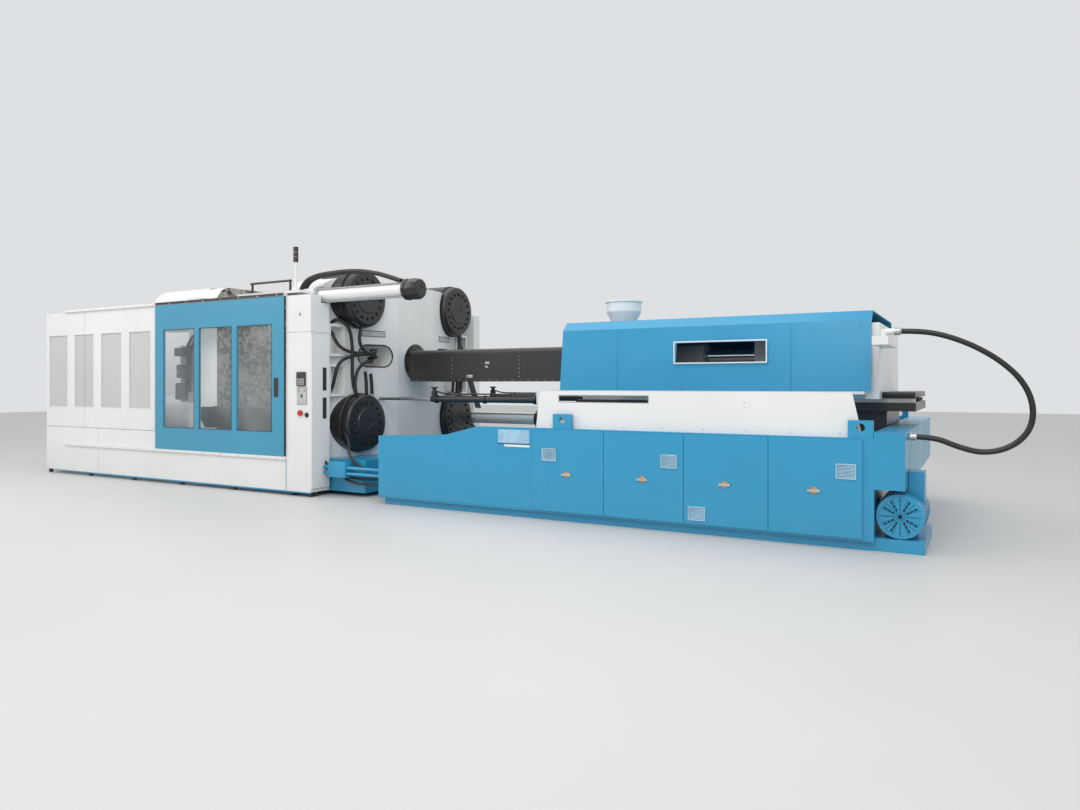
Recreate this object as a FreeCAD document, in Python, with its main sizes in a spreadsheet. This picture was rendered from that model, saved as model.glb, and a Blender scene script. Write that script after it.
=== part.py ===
"""Large two-platen injection moulding machine, as a parametric FreeCAD document.

Millimetres. +X runs from the clamp to the injection end, +Y away from the operator and +Z up.
The origin is on the floor, under the middle of the machine.
"""
import FreeCAD, Part
import math
import os
import re
import Sketcher

V = FreeCAD.Vector

# ---------------------------------------------------------------- driving dimensions
DIMENSIONS = {
    "overall": [
        ("half_length", 7190), ("half_width", 2130), ("axis_rise", 870), ("running_gap", 0.5),
        ("margin", 20),
    ],
    "clamp bed": [
        ("bed_right", 80), ("bed_bottom", 60), ("bed_top", 520), ("beam_inner", 650),
        ("beam_outer", 1750), ("cross_top", 400), ("cross_width", 240), ("cross_pitch", 1320),
        ("way_right", 1500), ("way_inner", 1050), ("way_outer", 1500), ("way_thick", 40),
        ("shoe_thick", 60), ("shoe_inner", 1100), ("shoe_outer", 1450), ("shoe_overhang", 150),
        ("bed_inset", 140), ("way_inset", 150), ("bracket_inset", 200), ("guard_foot_inset", 60),
    ],
    "platens": [
        ("mould_face", 1400), ("platen_half_width", 1770), ("platen_shoulder", 1400),
        ("platen_crown", 450), ("platen_round", 330), ("boss_radius", 440), ("cap_radius", 425),
        ("bar_offset", 1175), ("bar_rise", 930), ("bar_radius", 145), ("bar_left", 5200),
        ("piston_radius", 300), ("nozzle_bore", 300), ("locating_radius", 125), ("locating_depth", 60),
        ("pocket_inner", 1440), ("pocket_outer", 1720), ("pocket_low", 90), ("pocket_high", 500),
        ("pocket_depth", 260), ("hose_port_inner", 560), ("hose_port_outer", 1180),
        ("hose_port_half", 165), ("hose_port_depth", 300), ("bolt_pitch_y", 560), ("bolt_pitch_z", 350),
        ("bolt_radius", 20), ("bolt_depth", 80), ("moving_face", 3100), ("moving_thick", 700),
        ("moving_half_width", 1700), ("moving_round", 260), ("cavity_half_width", 520),
        ("cavity_half_height", 420), ("cavity_depth", 320), ("ejector_plate", 50),
        ("ejector_inset", 10), ("pin_radius", 25), ("pin_pitch", 300), ("pin_tip", 10),
        ("ejector_flange", 60), ("ejector_radius", 170), ("ejector_length", 700), ("ejector_rod", 60),
        ("recess_inner", 620), ("recess_outer", 1620), ("recess_half_height", 330),
        ("recess_depth", 330), ("nut_radius", 240), ("nut_length", 260), ("nut_open", 60),
        ("hood_radius", 364), ("hood_sheet", 6), ("hood_length", 1173), ("platen_edge", 600),
        ("platen_depth", 780), ("platen_deepest", 1000), ("boss_length", 870), ("cap_depth", 165),
        ("bar_set_back", 110), ("piston_nut", 60), ("piston_length", 200), ("stroke_room", 100),
        ("platen_rise", 1230), ("nut_play", 5), ("lug_root", 120), ("lug_reach", 155),
        ("lug_set_back", 100), ("moving_lug_length", 300), ("flange_overlap", 60), ("ejector_wall", 60),
        ("ejector_home", 100),
    ],
    "traverse cylinders": [
        ("traverse_radius", 103), ("traverse_bore", 80), ("traverse_end", 860), ("traverse_head", 150),
        ("traverse_head_end", 1110), ("traverse_rod", 45), ("traverse_rod_end", 250), ("lug_half", 100),
        ("traverse_offset", 30), ("traverse_drop", 960), ("platen_lug_length", 660),
        ("traverse_piston", 80),
    ],
    "guards": [
        ("guard_top", 2870), ("guard_bottom", 70), ("guard_seam", 841), ("guard_sheet", 30),
        ("window_low", 1199), ("window_pitch", 785), ("window_width", 565), ("pane", 6),
        ("bracket_low", 300), ("bracket_high", 380), ("bracket_width", 90), ("bracket_pitch", 1230),
        ("foot_radius", 35), ("bed_foot_radius", 90), ("door_left", 4008), ("door_bottom", 556),
        ("door_window_first", 3786), ("door_window_pitch", 863), ("door_window_width", 730),
        ("door_window_low", 913), ("door_travel", 2580), ("cover_left", 2094), ("cover_right", 813),
        ("handrail_radius", 17), ("handrail_left", 1918), ("handrail_right", 1074),
        ("mast_place", 1012), ("mast_radius", 18), ("lamp_radius", 36), ("chute_inner", 1715),
        ("chute_low", 909), ("chute_high", 1246), ("chute_sheet", 5), ("door_overlap", 32),
        ("window_inset", 90), ("window_drop", 405), ("door_clearance", 8), ("door_gap", 6),
        ("door_thick", 29), ("door_window_drop", 409), ("rail_tall", 40), ("cover_tall", 36),
        ("cover_depth", 190), ("handrail_rise", 157), ("handrail_inset", 100), ("mast_inset", 130),
        ("mast_length", 424), ("lamp_length", 217), ("chute_overlap", 70), ("chute_inset", 80),
    ],
    "control column": [
        ("column_left", 1070), ("column_right", 580), ("column_sheet", 25), ("panel_low", 120),
        ("panel_high", 2320), ("panel_thick", 20), ("panel_inset", 10), ("keypad_left", 842),
        ("keypad_right", 675), ("keypad_low", 1572), ("keypad_high", 1771), ("keypad_thick", 22),
        ("plate_left", 852), ("plate_right", 655), ("plate_low", 1303), ("plate_high", 1557),
        ("plate_thick", 4), ("stop_place", 773), ("stop_height", 1188), ("stop_radius", 26),
        ("stop_travel", 6), ("selector_place", 655), ("selector_height", 1162), ("selector_radius", 20),
        ("button_radius", 15), ("button_travel", 4), ("button_place", 755), ("button_height", 1430),
        ("collar_length", 12), ("knob_length", 12), ("bezel_radius", 34), ("panel_clearance", 5),
        ("notch_drop", 105), ("stop_brim", 16), ("grip_depth", 8), ("button_rim", 7),
    ],
    "injection base": [
        ("base_left", 643), ("base_step", 3000), ("base_right", 6755), ("base_plinth", 94),
        ("base_top", 1080), ("base_wall", 20), ("plinth_inset", 60), ("plinth_sheet", 30),
        ("front_sheet", 6), ("front_first", 914), ("front_bend", 1747), ("front_second", 962),
        ("front_third", 2232), ("front_low", 118), ("door_second", 3940), ("door_third", 4877),
        ("door_fourth", 5767), ("door_last", 6656), ("door_seam", 6), ("base_door_low", 118),
        ("base_door_sheet", 3), ("door_opening", 45), ("latch_height", 554), ("latch_radius", 20),
        ("latch_grip", 60), ("latch_thick", 14), ("lug_thick", 40), ("front_lug_left", 3277),
        ("front_lug_right", 3520), ("lug_height", 170), ("lug_hole", 40), ("end_box_low", 596),
        ("motor_height", 339), ("motor_radius", 215), ("motor_front", 1900), ("motor_back", 1300),
        ("motor_bore", 25.5), ("fan_cover_front", 2010), ("fan_cover_sheet", 5), ("fan_radius", 180),
        ("fan_hub", 50), ("fan_gap", 15), ("shaft_radius", 25), ("pump_radius", 120),
        ("pump_back", 1000), ("tray_high", 124), ("tray_back", 900), ("link_side", 1000),
        ("link_width", 200), ("link_low", 100), ("link_high", 260), ("tank_left", 4960),
        ("tank_right", 5700), ("tank_front", 300), ("tank_back", 2000), ("deck_drop", 280),
        ("base_door_depth", 22), ("base_door_drop", 14), ("lug_inset", 70), ("rear_lug_inset", 5),
        ("rear_lug_length", 230), ("end_box_length", 270), ("end_box_rise", 60), ("tray_inset", 90),
        ("latch_relief", 2), ("latch_rim", 8), ("latch_rim_thick", 4), ("motor_foot_inset", 60),
        ("terminal_offset", 55), ("terminal_front", 150), ("terminal_length", 250),
        ("terminal_rise", 150), ("pump_bore_depth", 120), ("shaft_reach", 110), ("fan_cover_inset", 4),
        ("grille_inner", 60), ("grille_rim", 36), ("grille_slots", 12), ("grille_slot_half", 7),
        ("blade_half", 3),
    ],
    "injection unit": [
        ("screen_sheet", 4), ("screen_left_low", 3012), ("screen_left_high", 3067),
        ("screen_right_low", 6646), ("screen_right_high", 6550), ("slot_left", 3323),
        ("slot_right", 4437), ("pedestal_left", 3060), ("pedestal_half", 760), ("slide_left", 2960),
        ("slide_right", 7035), ("slide_half", 860), ("linear_side", 640), ("linear_half", 60),
        ("carriage_left", 3020), ("carriage_right", 6560), ("carriage_half", 900),
        ("housing_left", 3100), ("housing_right", 3560), ("housing_half", 860), ("throat_radius", 120),
        ("ram_side", 560), ("ram_radius", 165), ("ram_right", 4650), ("ram_bore", 140),
        ("rod_radius", 70), ("crosshead_left", 5300), ("crosshead_right", 5560),
        ("crosshead_half", 800), ("motor_flange", 250), ("screw_motor_right", 6080),
        ("screw_motor_radius", 230), ("barrel_radius", 150), ("barrel_bore", 80), ("barrel_left", 900),
        ("nozzle_root", 120), ("nozzle_end", 60), ("nozzle_left", 1270), ("nozzle_hole", 15),
        ("heater_first", 100), ("heater_pitch", 330), ("heater_width", 260), ("heater_thick", 18),
        ("screw_root", 52), ("screw_radius", 79), ("screw_left", 180), ("flight_pitch", 190),
        ("flight_width", 40), ("screw_drive_left", 3400), ("shroud_left", 233), ("shroud_right", 3100),
        ("shroud_half", 350), ("shroud_sheet", 6), ("shroud_round", 70), ("cover_front", 2895),
        ("cover_back", 6625), ("cover_half", 1200), ("cover_shoulder", 1110), ("cover_crown", 1000),
        ("cover_sheet", 6), ("view_left", 4450), ("view_right", 5525), ("tail_left", 6560),
        ("tail_right", 6700), ("tail_half", 1090), ("hopper_left", 3032), ("hopper_right", 3520),
        ("hopper_neck_half", 150), ("hopper_sheet", 5), ("puller_side", 800), ("puller_height", 1378),
        ("puller_radius", 46), ("puller_left", 533), ("puller_right", 2360), ("puller_bore", 34),
        ("puller_rod", 25), ("puller_rod_end", 1300), ("puller_lug_thick", 120),
        ("puller_lug_half", 70), ("elbow_height", 1555), ("elbow_radius", 30), ("screen_inset", 100),
        ("screen_tall", 438), ("slot_rise", 312), ("slot_tall", 75), ("pedestal_inset", 15),
        ("pedestal_tall", 224), ("slide_tall", 91), ("linear_tall", 45), ("carriage_tall", 80),
        ("ledge_thick", 30), ("arm_clearance", 5), ("arm_length", 150), ("arm_root", 260),
        ("housing_rise", 350), ("crosshead_gap", 40), ("crosshead_rise", 310), ("crosshead_leg", 180),
        ("motor_flange_thick", 60), ("screw_socket", 80), ("ram_wall", 80), ("rod_insert", 150),
        ("ram_piston_start", 180), ("ram_piston_end", 100), ("shroud_drop", 310), ("shroud_rise", 180),
        ("cover_bend_rise", 340), ("cover_roof", 110), ("view_drop", 95), ("view_rise", 142),
        ("neck_length", 247), ("hopper_tall", 213), ("cone_start", 120), ("cone_end", 60),
        ("puller_wall", 60),
    ],
    "hose loop": [
        ("loop_side", 1700), ("loop_spacing", 62), ("loop_radius", 25), ("loop_top", 2120),
        ("loop_start", 6830), ("loop_foot", 1085), ("ferrule_radius", 31), ("ferrule_length", 70),
        ("arm_tall", 85),
    ],
}
# What lines up with something else is worked out from it, and keeps its clearance when it changes.
DERIVED = {
    "machine_axis": "base_top + axis_rise",
    "bed_left": "half_length - bed_inset",
    "way_left": "bed_left - way_inset",
    "bracket_first": "bed_left - bracket_inset",
    "platen_edge_rear": "mould_face - platen_edge",
    "platen_shoulder_rear": "mould_face - platen_depth",
    "platen_crown_rear": "mould_face - platen_deepest",
    "boss_end": "mould_face - boss_length",
    "cap_end": "boss_end - cap_depth",
    "bar_end": "boss_end + bar_set_back",
    "piston_right": "bar_end + piston_nut",
    "piston_left": "piston_right + piston_length",
    "cylinder_left": "piston_left + stroke_room",
    "platen_top": "machine_axis + platen_rise",
    "moving_top": "platen_top",
    "nut_bore": "bar_radius + nut_play",
    "lug_inner": "platen_half_width - lug_root",
    "lug_outer": "platen_half_width + lug_reach",
    "moving_lug_right": "moving_face + lug_set_back",
    "moving_lug_left": "moving_lug_right + moving_lug_length",
    "traverse_side": "platen_half_width + traverse_offset",
    "traverse_high": "machine_axis + bar_rise",
    "traverse_low": "machine_axis - traverse_drop",
    "traverse_start": "mould_face - platen_lug_length",
    "guard_right": "door_left + door_overlap",
    "window_first": "half_length - window_inset",
    "window_high": "guard_top - window_drop",
    "door_right": "column_left + door_clearance",
    "door_top": "guard_top - door_clearance",
    "door_back": "half_width + door_gap",
    "door_face": "door_back + door_thick",
    "door_window_high": "guard_top - door_window_drop",
    "rail_low": "door_bottom - rail_tall",
    "rail_high": "guard_top + rail_tall",
    "rail_inner": "half_width - guard_sheet",
    "cover_top": "rail_high + cover_tall",
    "cover_inner": "half_width - cover_depth",
    "handrail_height": "cover_top + handrail_rise",
    "handrail_side": "half_width - handrail_inset",
    "mast_side": "half_width - mast_inset",
    "mast_top": "cover_top + mast_length",
    "lamp_top": "mast_top + lamp_length",
    "chute_left": "moving_face + chute_overlap",
    "chute_outer": "half_width - chute_inset",
    "column_inner": "platen_half_width + panel_clearance",
    "notch_outer": "lug_outer + 2 * panel_clearance",
    "notch_low": "guard_top - notch_drop",
    "deck_top": "base_top - deck_drop",
    "base_side": "half_width - base_door_depth",
    "door_first": "base_step + door_seam",
    "base_door_high": "base_top - base_door_drop",
    "lug_side": "half_width - lug_inset",
    "rear_lug_right": "base_right - rear_lug_inset",
    "rear_lug_left": "rear_lug_right - rear_lug_length",
    "end_box_right": "base_right + end_box_length",
    "end_box_top": "base_top + end_box_rise",
    "motor_place": "half_length - motor_radius",
    "tray_front": "half_width - tray_inset",
    "tank_top": "deck_top + margin",
    "screen_side": "half_width - screen_inset",
    "screen_top": "base_top + screen_tall",
    "slot_low": "base_top + slot_rise",
    "slot_high": "slot_low + slot_tall",
    "pedestal_right": "base_right - pedestal_inset",
    "pedestal_top": "base_top + pedestal_tall",
    "slide_top": "pedestal_top + slide_tall",
    "linear_top": "slide_top + linear_tall",
    "carriage_top": "linear_top + carriage_tall",
    "housing_top": "machine_axis + housing_rise",
    "crosshead_low": "carriage_top + crosshead_gap",
    "crosshead_high": "machine_axis + crosshead_rise",
    "shroud_low": "machine_axis - shroud_drop",
    "shroud_high": "machine_axis + shroud_rise",
    "cover_bend": "machine_axis + cover_bend_rise",
    "cover_high": "cover_bend + cover_roof",
    "cover_foot": "carriage_top",
    "view_low": "machine_axis - view_drop",
    "view_high": "machine_axis + view_rise",
    "tail_top": "crosshead_high",
    "hopper_neck": "housing_top + neck_length",
    "hopper_top": "hopper_neck + hopper_tall",
    "arm_high": "loop_top - loop_radius - margin",
    "arm_low": "arm_high - arm_tall",
}
SIZE = {name: float(value) for rows in DIMENSIONS.values() for name, value in rows}

DOC = FreeCAD.newDocument("injection_moulding_machine")
SHEET = DOC.addObject("Spreadsheet::Sheet", "dims")
PARTS = []


def fill_sheet():
    """Write each group of dimensions into the sheet, a name, a value and an alias in each row."""
    row = 1
    for group, rows in DIMENSIONS.items():
        SHEET.set(f"A{row}", group)
        for name, value in rows:
            row += 1
            SHEET.set(f"A{row}", name)
            SHEET.set(f"B{row}", str(value))
            SHEET.setAlias(f"B{row}", name)
        row += 2
    DOC.recompute()


# ---------------------------------------------------------------- small building helpers
def bound(text):
    """An expression with derived sizes written out, and the sheet's name before each of its aliases."""
    def written(word):
        name = word.group(0)
        if name in DERIVED:
            return f"({bound(DERIVED[name])})"
        return f"dims.{name}" if name in SIZE else name
    return re.sub(r"[a-z][a-z_]+", written, str(text))


def value(name):
    """The number behind a size; a derived one is a sum of sizes and multiples."""
    if name in SIZE:
        return SIZE[name]
    total, sign = 0.0, 1
    words = DERIVED[name].split()
    for word in words:
        if word in ("+", "-"):
            sign = 1 if word == "+" else -1
        else:
            total += sign * value(word)
    return total


def bind(item, prop, text):
    item.setExpression(prop, bound(text))


def keep(label, item):
    """Mark an object as a sub-part; its label names the file."""
    item.Label = label
    PARTS.append(item)
    return item


def place(item, x="0", y="0", z="0"):
    for axis, text in (("x", x), ("y", y), ("z", z)):
        bind(item, f"Placement.Base.{axis}", text)


def box(name, x, y, z):
    """A box between two expressions along each axis."""
    item = DOC.addObject("Part::Box", name)
    for prop, span in (("Length", x), ("Width", y), ("Height", z)):
        bind(item, prop, f"({span[1]}) - ({span[0]})")
    place(item, x[0], y[0], z[0])
    return item


TURN = {
    "X": FreeCAD.Rotation(V(0, 1, 0), 90),
    "Y": FreeCAD.Rotation(V(1, 0, 0), -90),
    "Z": FreeCAD.Rotation(),
}


def along(item, axis, span, first, second):
    """Stand a round solid along an axis; first and second are its centre on the other two axes."""
    item.Placement = FreeCAD.Placement(V(), TURN[axis])
    bind(item, "Height", f"({span[1]}) - ({span[0]})")
    centre = {"X": (span[0], first, second), "Y": (first, span[0], second), "Z": (first, second, span[0])}
    place(item, *centre[axis])
    return item


def rod(name, axis, radius, span, first, second):
    item = DOC.addObject("Part::Cylinder", name)
    bind(item, "Radius", radius)
    return along(item, axis, span, first, second)


def taper(name, axis, radius_start, radius_end, span, first, second):
    item = DOC.addObject("Part::Cone", name)
    bind(item, "Radius1", radius_start)
    bind(item, "Radius2", radius_end)
    return along(item, axis, span, first, second)


def group(name, items):
    item = DOC.addObject("Part::Compound", name)
    item.Links = list(items)
    return item


def fuse(name, *items):
    item = DOC.addObject("Part::MultiFuse", name)
    item.Shapes = list(items)
    return item


def cut(name, base, *tools):
    item = DOC.addObject("Part::Cut", name)
    item.Base = base
    item.Tool = tools[0] if len(tools) == 1 else group(f"{name}_cuts", tools)
    return item


def common(name, first, second):
    item = DOC.addObject("Part::Common", name)
    item.Base = first
    item.Tool = second
    return item


def tube(name, axis, outer, inner, span, first, second):
    longer = (f"({span[0]}) - margin", f"({span[1]}) + margin")
    return cut(name, rod(f"{name}_outer", axis, outer, span, first, second),
               rod(f"{name}_bore", axis, inner, longer, first, second))


def profile(name, plane, points, span):
    """A closed outline on an origin plane, padded from one expression to another along the plane's normal."""
    body = DOC.addObject("PartDesign::Body", name)
    sketch = body.newObject("Sketcher::SketchObject", f"{name}_outline")
    origin = [item for item in body.Origin.OriginFeatures if item.Role == f"{plane}_Plane"][0]
    sketch.AttachmentSupport = [(origin, "")]
    sketch.MapMode = "FlatFace"
    count = len(points)
    rough = [V(1000 * math.cos(2 * math.pi * i / count), 1000 * math.sin(2 * math.pi * i / count), 0)
             for i in range(count)]
    for i in range(count):
        sketch.addGeometry(Part.LineSegment(rough[i], rough[(i + 1) % count]))
    for i in range(count):
        sketch.addConstraint(Sketcher.Constraint("Coincident", i, 2, (i + 1) % count, 1))
    for i, point in enumerate(points):
        for kind, text, value in (("DistanceX", point[0], rough[i].x), ("DistanceY", point[1], rough[i].y)):
            number = sketch.addConstraint(Sketcher.Constraint(kind, -1, 1, i, 1, value))
            bind(sketch, f"Constraints[{number}]", text)
    pad = body.newObject("PartDesign::Pad", f"{name}_pad")
    pad.Profile = sketch
    bind(pad, "Length", f"({span[1]}) - ({span[0]})")
    if plane == "YZ":
        place(body, x=span[0])
    elif plane == "XZ":
        place(body, y=span[1])
    else:
        place(body, z=span[0])
    return body


def rounded(body, axis, radius, chosen=lambda edge: True):
    """Fillet a body's straight edges that run along an axis."""
    DOC.recompute()
    tip = body.Tip
    names = []
    for number, edge in enumerate(tip.Shape.Edges, start=1):
        straight = isinstance(edge.Curve, Part.Line) and abs(edge.tangentAt(edge.FirstParameter).dot(axis)) > 0.999
        if straight and chosen(edge):
            names.append(f"Edge{number}")
    fillet = body.newObject("PartDesign::Fillet", f"{body.Name}_rounds")
    fillet.Base = (tip, names)
    bind(fillet, "Radius", radius)
    return body


SIDES = ("near", "far")


def side(which, distance):
    """A Y value at a distance from the centre plane."""
    return f"-({distance})" if which == "near" else f"{distance}"


def between(which, inner, outer):
    """The Y span between two distances from the centre plane."""
    return (f"-({outer})", f"-({inner})") if which == "near" else (inner, outer)


def symmetric(half):
    return f"-({half})", half


def around(centre, half):
    return f"({centre}) - ({half})", f"({centre}) + ({half})"


BARS = [(f"{which}_{level}", side(which, "bar_offset"), f"machine_axis {sign} bar_rise")
        for which in SIDES for level, sign in (("low", "-"), ("high", "+"))]


# ---------------------------------------------------------------- clamp bed and ways
def clamp_bed():
    beams = [box(f"bed_beam_{which}", ("-bed_left", "bed_right"), between(which, "beam_inner", "beam_outer"),
                 ("bed_bottom", "bed_top")) for which in SIDES]
    crosses = [box(f"bed_cross_{i}", (f"-bed_left + {i} * cross_pitch",
                                      f"-bed_left + {i} * cross_pitch + cross_width"),
                   symmetric("beam_inner"), ("bed_bottom", "cross_top")) for i in range(6)]
    links = [box(f"link_{which}", ("bed_right", "base_left"),
                 between(which, "link_side - link_width", "link_side + link_width"), ("link_low", "link_high"))
             for which in SIDES]
    brackets = []
    for which in SIDES:
        for i in range(5):
            left = f"-bracket_first + {i} * bracket_pitch"
            brackets.append(box(f"bracket_{which}_{i}", (left, f"{left} + bracket_width"),
                                between(which, "beam_outer", "half_width - guard_sheet"),
                                ("bracket_low", "bracket_high")))
    keep("clamp_bed", fuse("clamp_bed", *beams, *crosses, *links, *brackets))


def machined_ways():
    """Ground steel: the platen's guideways and the carriage's linear ways."""
    ways = [box(f"way_{which}", ("-way_left", "-way_right"), between(which, "way_inner", "way_outer"),
                ("bed_top", "bed_top + way_thick")) for which in SIDES]
    ways += [box(f"linear_way_{which}", ("slide_left + margin", "slide_right - margin"),
                 between(which, "linear_side - linear_half", "linear_side + linear_half"),
                 ("slide_top", "linear_top")) for which in SIDES]
    ways += [rod(f"puller_rod_{which}", "X", "puller_rod", ("-platen_shoulder_rear", "puller_rod_end"),
                 side(which, "puller_side"), "puller_height") for which in SIDES]
    keep("ways_and_carriage_rods", group("ways_and_carriage_rods", ways))


def levelling_feet():
    feet = []
    for which in SIDES:
        for i in range(6):
            x = f"-bracket_first + {i} * bracket_pitch"
            feet.append(rod(f"bed_foot_{which}_{i}", "Z", "bed_foot_radius", ("0", "bed_bottom"), x,
                            side(which, "(beam_inner + beam_outer) / 2")))
        for i in range(5):
            x = f"-half_length + guard_foot_inset + {i} * bracket_pitch"
            feet.append(rod(f"guard_foot_{which}_{i}", "Z", "foot_radius", ("0", "guard_bottom"), x,
                            side(which, "half_width - guard_sheet - foot_radius / 2")))
        for edge, sign in (("left", "+"), ("right", "-")):
            for depth in ("notch_outer + foot_radius", "half_width - 2 * foot_radius"):
                feet.append(rod(f"column_foot_{which}_{edge}", "Z", "foot_radius", ("0", "guard_bottom"),
                                f"-column_{edge} {sign} 2 * foot_radius", side(which, depth)))
    keep("levelling_feet", group("levelling_feet", feet))


# ---------------------------------------------------------------- platens
def bar_holes(name, radius, x):
    return [rod(f"{name}_{bar}", "X", radius, x, y, z) for bar, y, z in BARS]


def bolt_holes(name, x):
    """Blind mould-clamping holes round the middle of a platen's mould face."""
    holes = []
    for row in (-3, -2, -1, 1, 2, 3):
        for column in (-1.5, -0.5, 0.5, 1.5):
            holes.append(rod(f"{name}_bolt", "X", "bolt_radius", x, f"{column} * bolt_pitch_y",
                             f"machine_axis + {row} * bolt_pitch_z"))
    return holes


def traverse_points():
    return (("near", "-traverse_side", "traverse_high"), ("far", "traverse_side", "traverse_low"))


def lugs(name, x):
    return [box(f"{name}_{which}", x, between(which, "lug_inner", "lug_outer"), around(z, "lug_half"))
            for which, _, z in traverse_points()]


def stationary_platen():
    plan = [("-mould_face", "-platen_half_width"), ("-platen_edge_rear", "-platen_half_width"),
            ("-platen_shoulder_rear", "-platen_shoulder"), ("-platen_crown_rear", "-platen_crown"),
            ("-platen_crown_rear", "platen_crown"), ("-platen_shoulder_rear", "platen_shoulder"),
            ("-platen_edge_rear", "platen_half_width"), ("-mould_face", "platen_half_width")]
    arch = profile("platen_arch", "XY", plan, ("bed_top", "platen_top"))
    front = [("-platen_half_width", "bed_top"), ("platen_half_width", "bed_top"),
             ("platen_half_width", "platen_top"), ("-platen_half_width", "platen_top")]
    outline = profile("platen_front", "YZ", front, ("-mould_face", "-platen_crown_rear"))
    rounded(outline, V(1, 0, 0), "platen_round", lambda edge: edge.BoundBox.ZMin > value("platen_top") - 1)
    bosses = bar_holes("boss", "boss_radius", ("-cylinder_left", "-boss_end"))
    casting = fuse("platen_casting", common("platen_block", arch, outline), *bosses, *lugs("platen_lug",
                   ("-mould_face", "-traverse_start")))
    tools = bar_holes("platen_bar_hole", "bar_radius + running_gap", ("-mould_face - margin", "-boss_end"))
    tools += bar_holes("platen_cylinder", "piston_radius + running_gap", ("-cylinder_left", "-boss_end + margin"))
    tools += bar_holes("platen_spot_face", "boss_radius + margin / 4", ("-boss_end", "0"))
    tools = [fuse("platen_bores", *tools)]
    tools += [rod(f"anchor_hole_{which}", "X", "puller_rod + running_gap / 5", ("-platen_shoulder_rear", "0"),
                  side(which, "puller_side"), "puller_height") for which in SIDES]
    tools.append(rod("platen_nozzle_bore", "X", "nozzle_bore", ("-mould_face + locating_depth", "0"), "0",
                     "machine_axis"))
    tools.append(rod("locating_bore", "X", "locating_radius", ("-mould_face - margin",
                                                               "-mould_face + locating_depth"),
                     "0", "machine_axis"))
    tools += bolt_holes("fixed", ("-mould_face - margin", "-mould_face + bolt_depth"))
    for which in SIDES:
        for level, sign in (("low", "-"), ("high", "+")):
            span = [f"machine_axis {sign} pocket_low", f"machine_axis {sign} pocket_high"]
            if sign == "-":
                span.reverse()
            tools.append(box(f"platen_pocket_{which}_{level}", ("-platen_edge_rear - pocket_depth", "0"),
                             between(which, "pocket_inner", "pocket_outer"), span))
    tools += [hose_port(which) for which in SIDES]
    tools += [rod(f"platen_traverse_hole_{which}", "X", "traverse_rod + running_gap",
                  ("-mould_face - margin", "0"), y, z) for which, y, z in traverse_points()]
    keep("stationary_platen", cut("stationary_platen", casting, *tools))


def hose_port(which):
    """A slot with round ends in the platen's rear face, where the clamp hoses go in."""
    x = ("-platen_shoulder_rear - hose_port_depth", "0")
    z = "machine_axis + hose_port_half / 2"
    straight = box(f"port_{which}", x, between(which, "hose_port_inner + hose_port_half",
                   "hose_port_outer - hose_port_half"), around(z, "hose_port_half"))
    ends = [rod(f"port_end_{which}", "X", "hose_port_half", x, side(which, y), z)
            for y in ("hose_port_inner + hose_port_half", "hose_port_outer - hose_port_half")]
    return fuse(f"hose_port_{which}", straight, *ends)


def cylinder_covers():
    """End covers of the four clamp cylinders, and the head blocks of the two traverse cylinders."""
    covers = [rod(f"cap_{bar}", "X", "cap_radius", ("-boss_end", "-cap_end"), y, z) for bar, y, z in BARS]
    for which, y, z in traverse_points():
        block = rod(f"traverse_block_{which}", "X", "traverse_head", ("traverse_end", "traverse_head_end"), y, z)
        bore = rod(f"traverse_block_bore_{which}", "X", "traverse_bore",
                   ("traverse_end - margin", "traverse_head_end - margin"), y, z)
        covers.append(cut(f"traverse_head_{which}", block, bore))
    keep("cylinder_covers", group("cylinder_covers", covers))


def tie_bars():
    """Each tie bar carries its clamp piston on its right end."""
    bars = [fuse(f"tie_bar_{bar}", rod(f"bar_{bar}", "X", "bar_radius", ("-bar_left", "-bar_end"), y, z),
                 rod(f"piston_{bar}", "X", "piston_radius", ("-piston_left", "-piston_right"), y, z))
            for bar, y, z in BARS]
    keep("tie_bars", group("tie_bars", bars))


def moving_platen():
    front = [("-moving_half_width", "bed_top + way_thick + shoe_thick"),
             ("moving_half_width", "bed_top + way_thick + shoe_thick"),
             ("moving_half_width", "moving_top"), ("-moving_half_width", "moving_top")]
    block = profile("moving_block", "YZ", front, ("-moving_face - moving_thick", "-moving_face"))
    rounded(block, V(1, 0, 0), "moving_round")
    casting = fuse("moving_casting", block, *lugs("moving_lug", ("-moving_lug_left", "-moving_lug_right")))
    rear = "-moving_face - moving_thick - margin"
    tools = bar_holes("moving_bar_hole", "bar_radius + 4 * running_gap", (rear, "0"))
    tools.append(box("ejector_cavity", (rear, "-moving_face - moving_thick + cavity_depth"),
                     symmetric("cavity_half_width"), around("machine_axis", "cavity_half_height")))
    for which in SIDES:
        tools.append(box(f"moving_recess_{which}", (rear, "-moving_face - moving_thick + recess_depth"),
                         between(which, "recess_inner", "recess_outer"), around("machine_axis",
                                                                                "recess_half_height")))
    tools += bolt_holes("moving", ("-moving_face - bolt_depth", "0"))
    tools += ejector_pins("ejector_hole", "pin_radius + 4 * running_gap", ("-moving_face - moving_thick", "0"))
    tools += [rod(f"moving_rod_hole_{which}", "X", "traverse_rod + running_gap / 5",
                  ("-moving_lug_left - margin", "0"), y, z) for which, y, z in traverse_points()]
    keep("moving_platen", cut("moving_platen", casting, *tools))
    shoes = [box(f"shoe_{which}", ("-moving_face - moving_thick - shoe_overhang", "-moving_face + shoe_overhang"),
                 between(which, "shoe_inner", "shoe_outer"),
                 ("bed_top + way_thick", "bed_top + way_thick + shoe_thick")) for which in SIDES]
    keep("platen_shoes", group("platen_shoes", shoes))


def ejector_pins(name, radius, x):
    return [rod(name, "X", radius, x, f"{column} * pin_pitch", f"machine_axis + {row} * pin_pitch * 0.8")
            for row in (-1, 0, 1) for column in (-1, 0, 1)]


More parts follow.
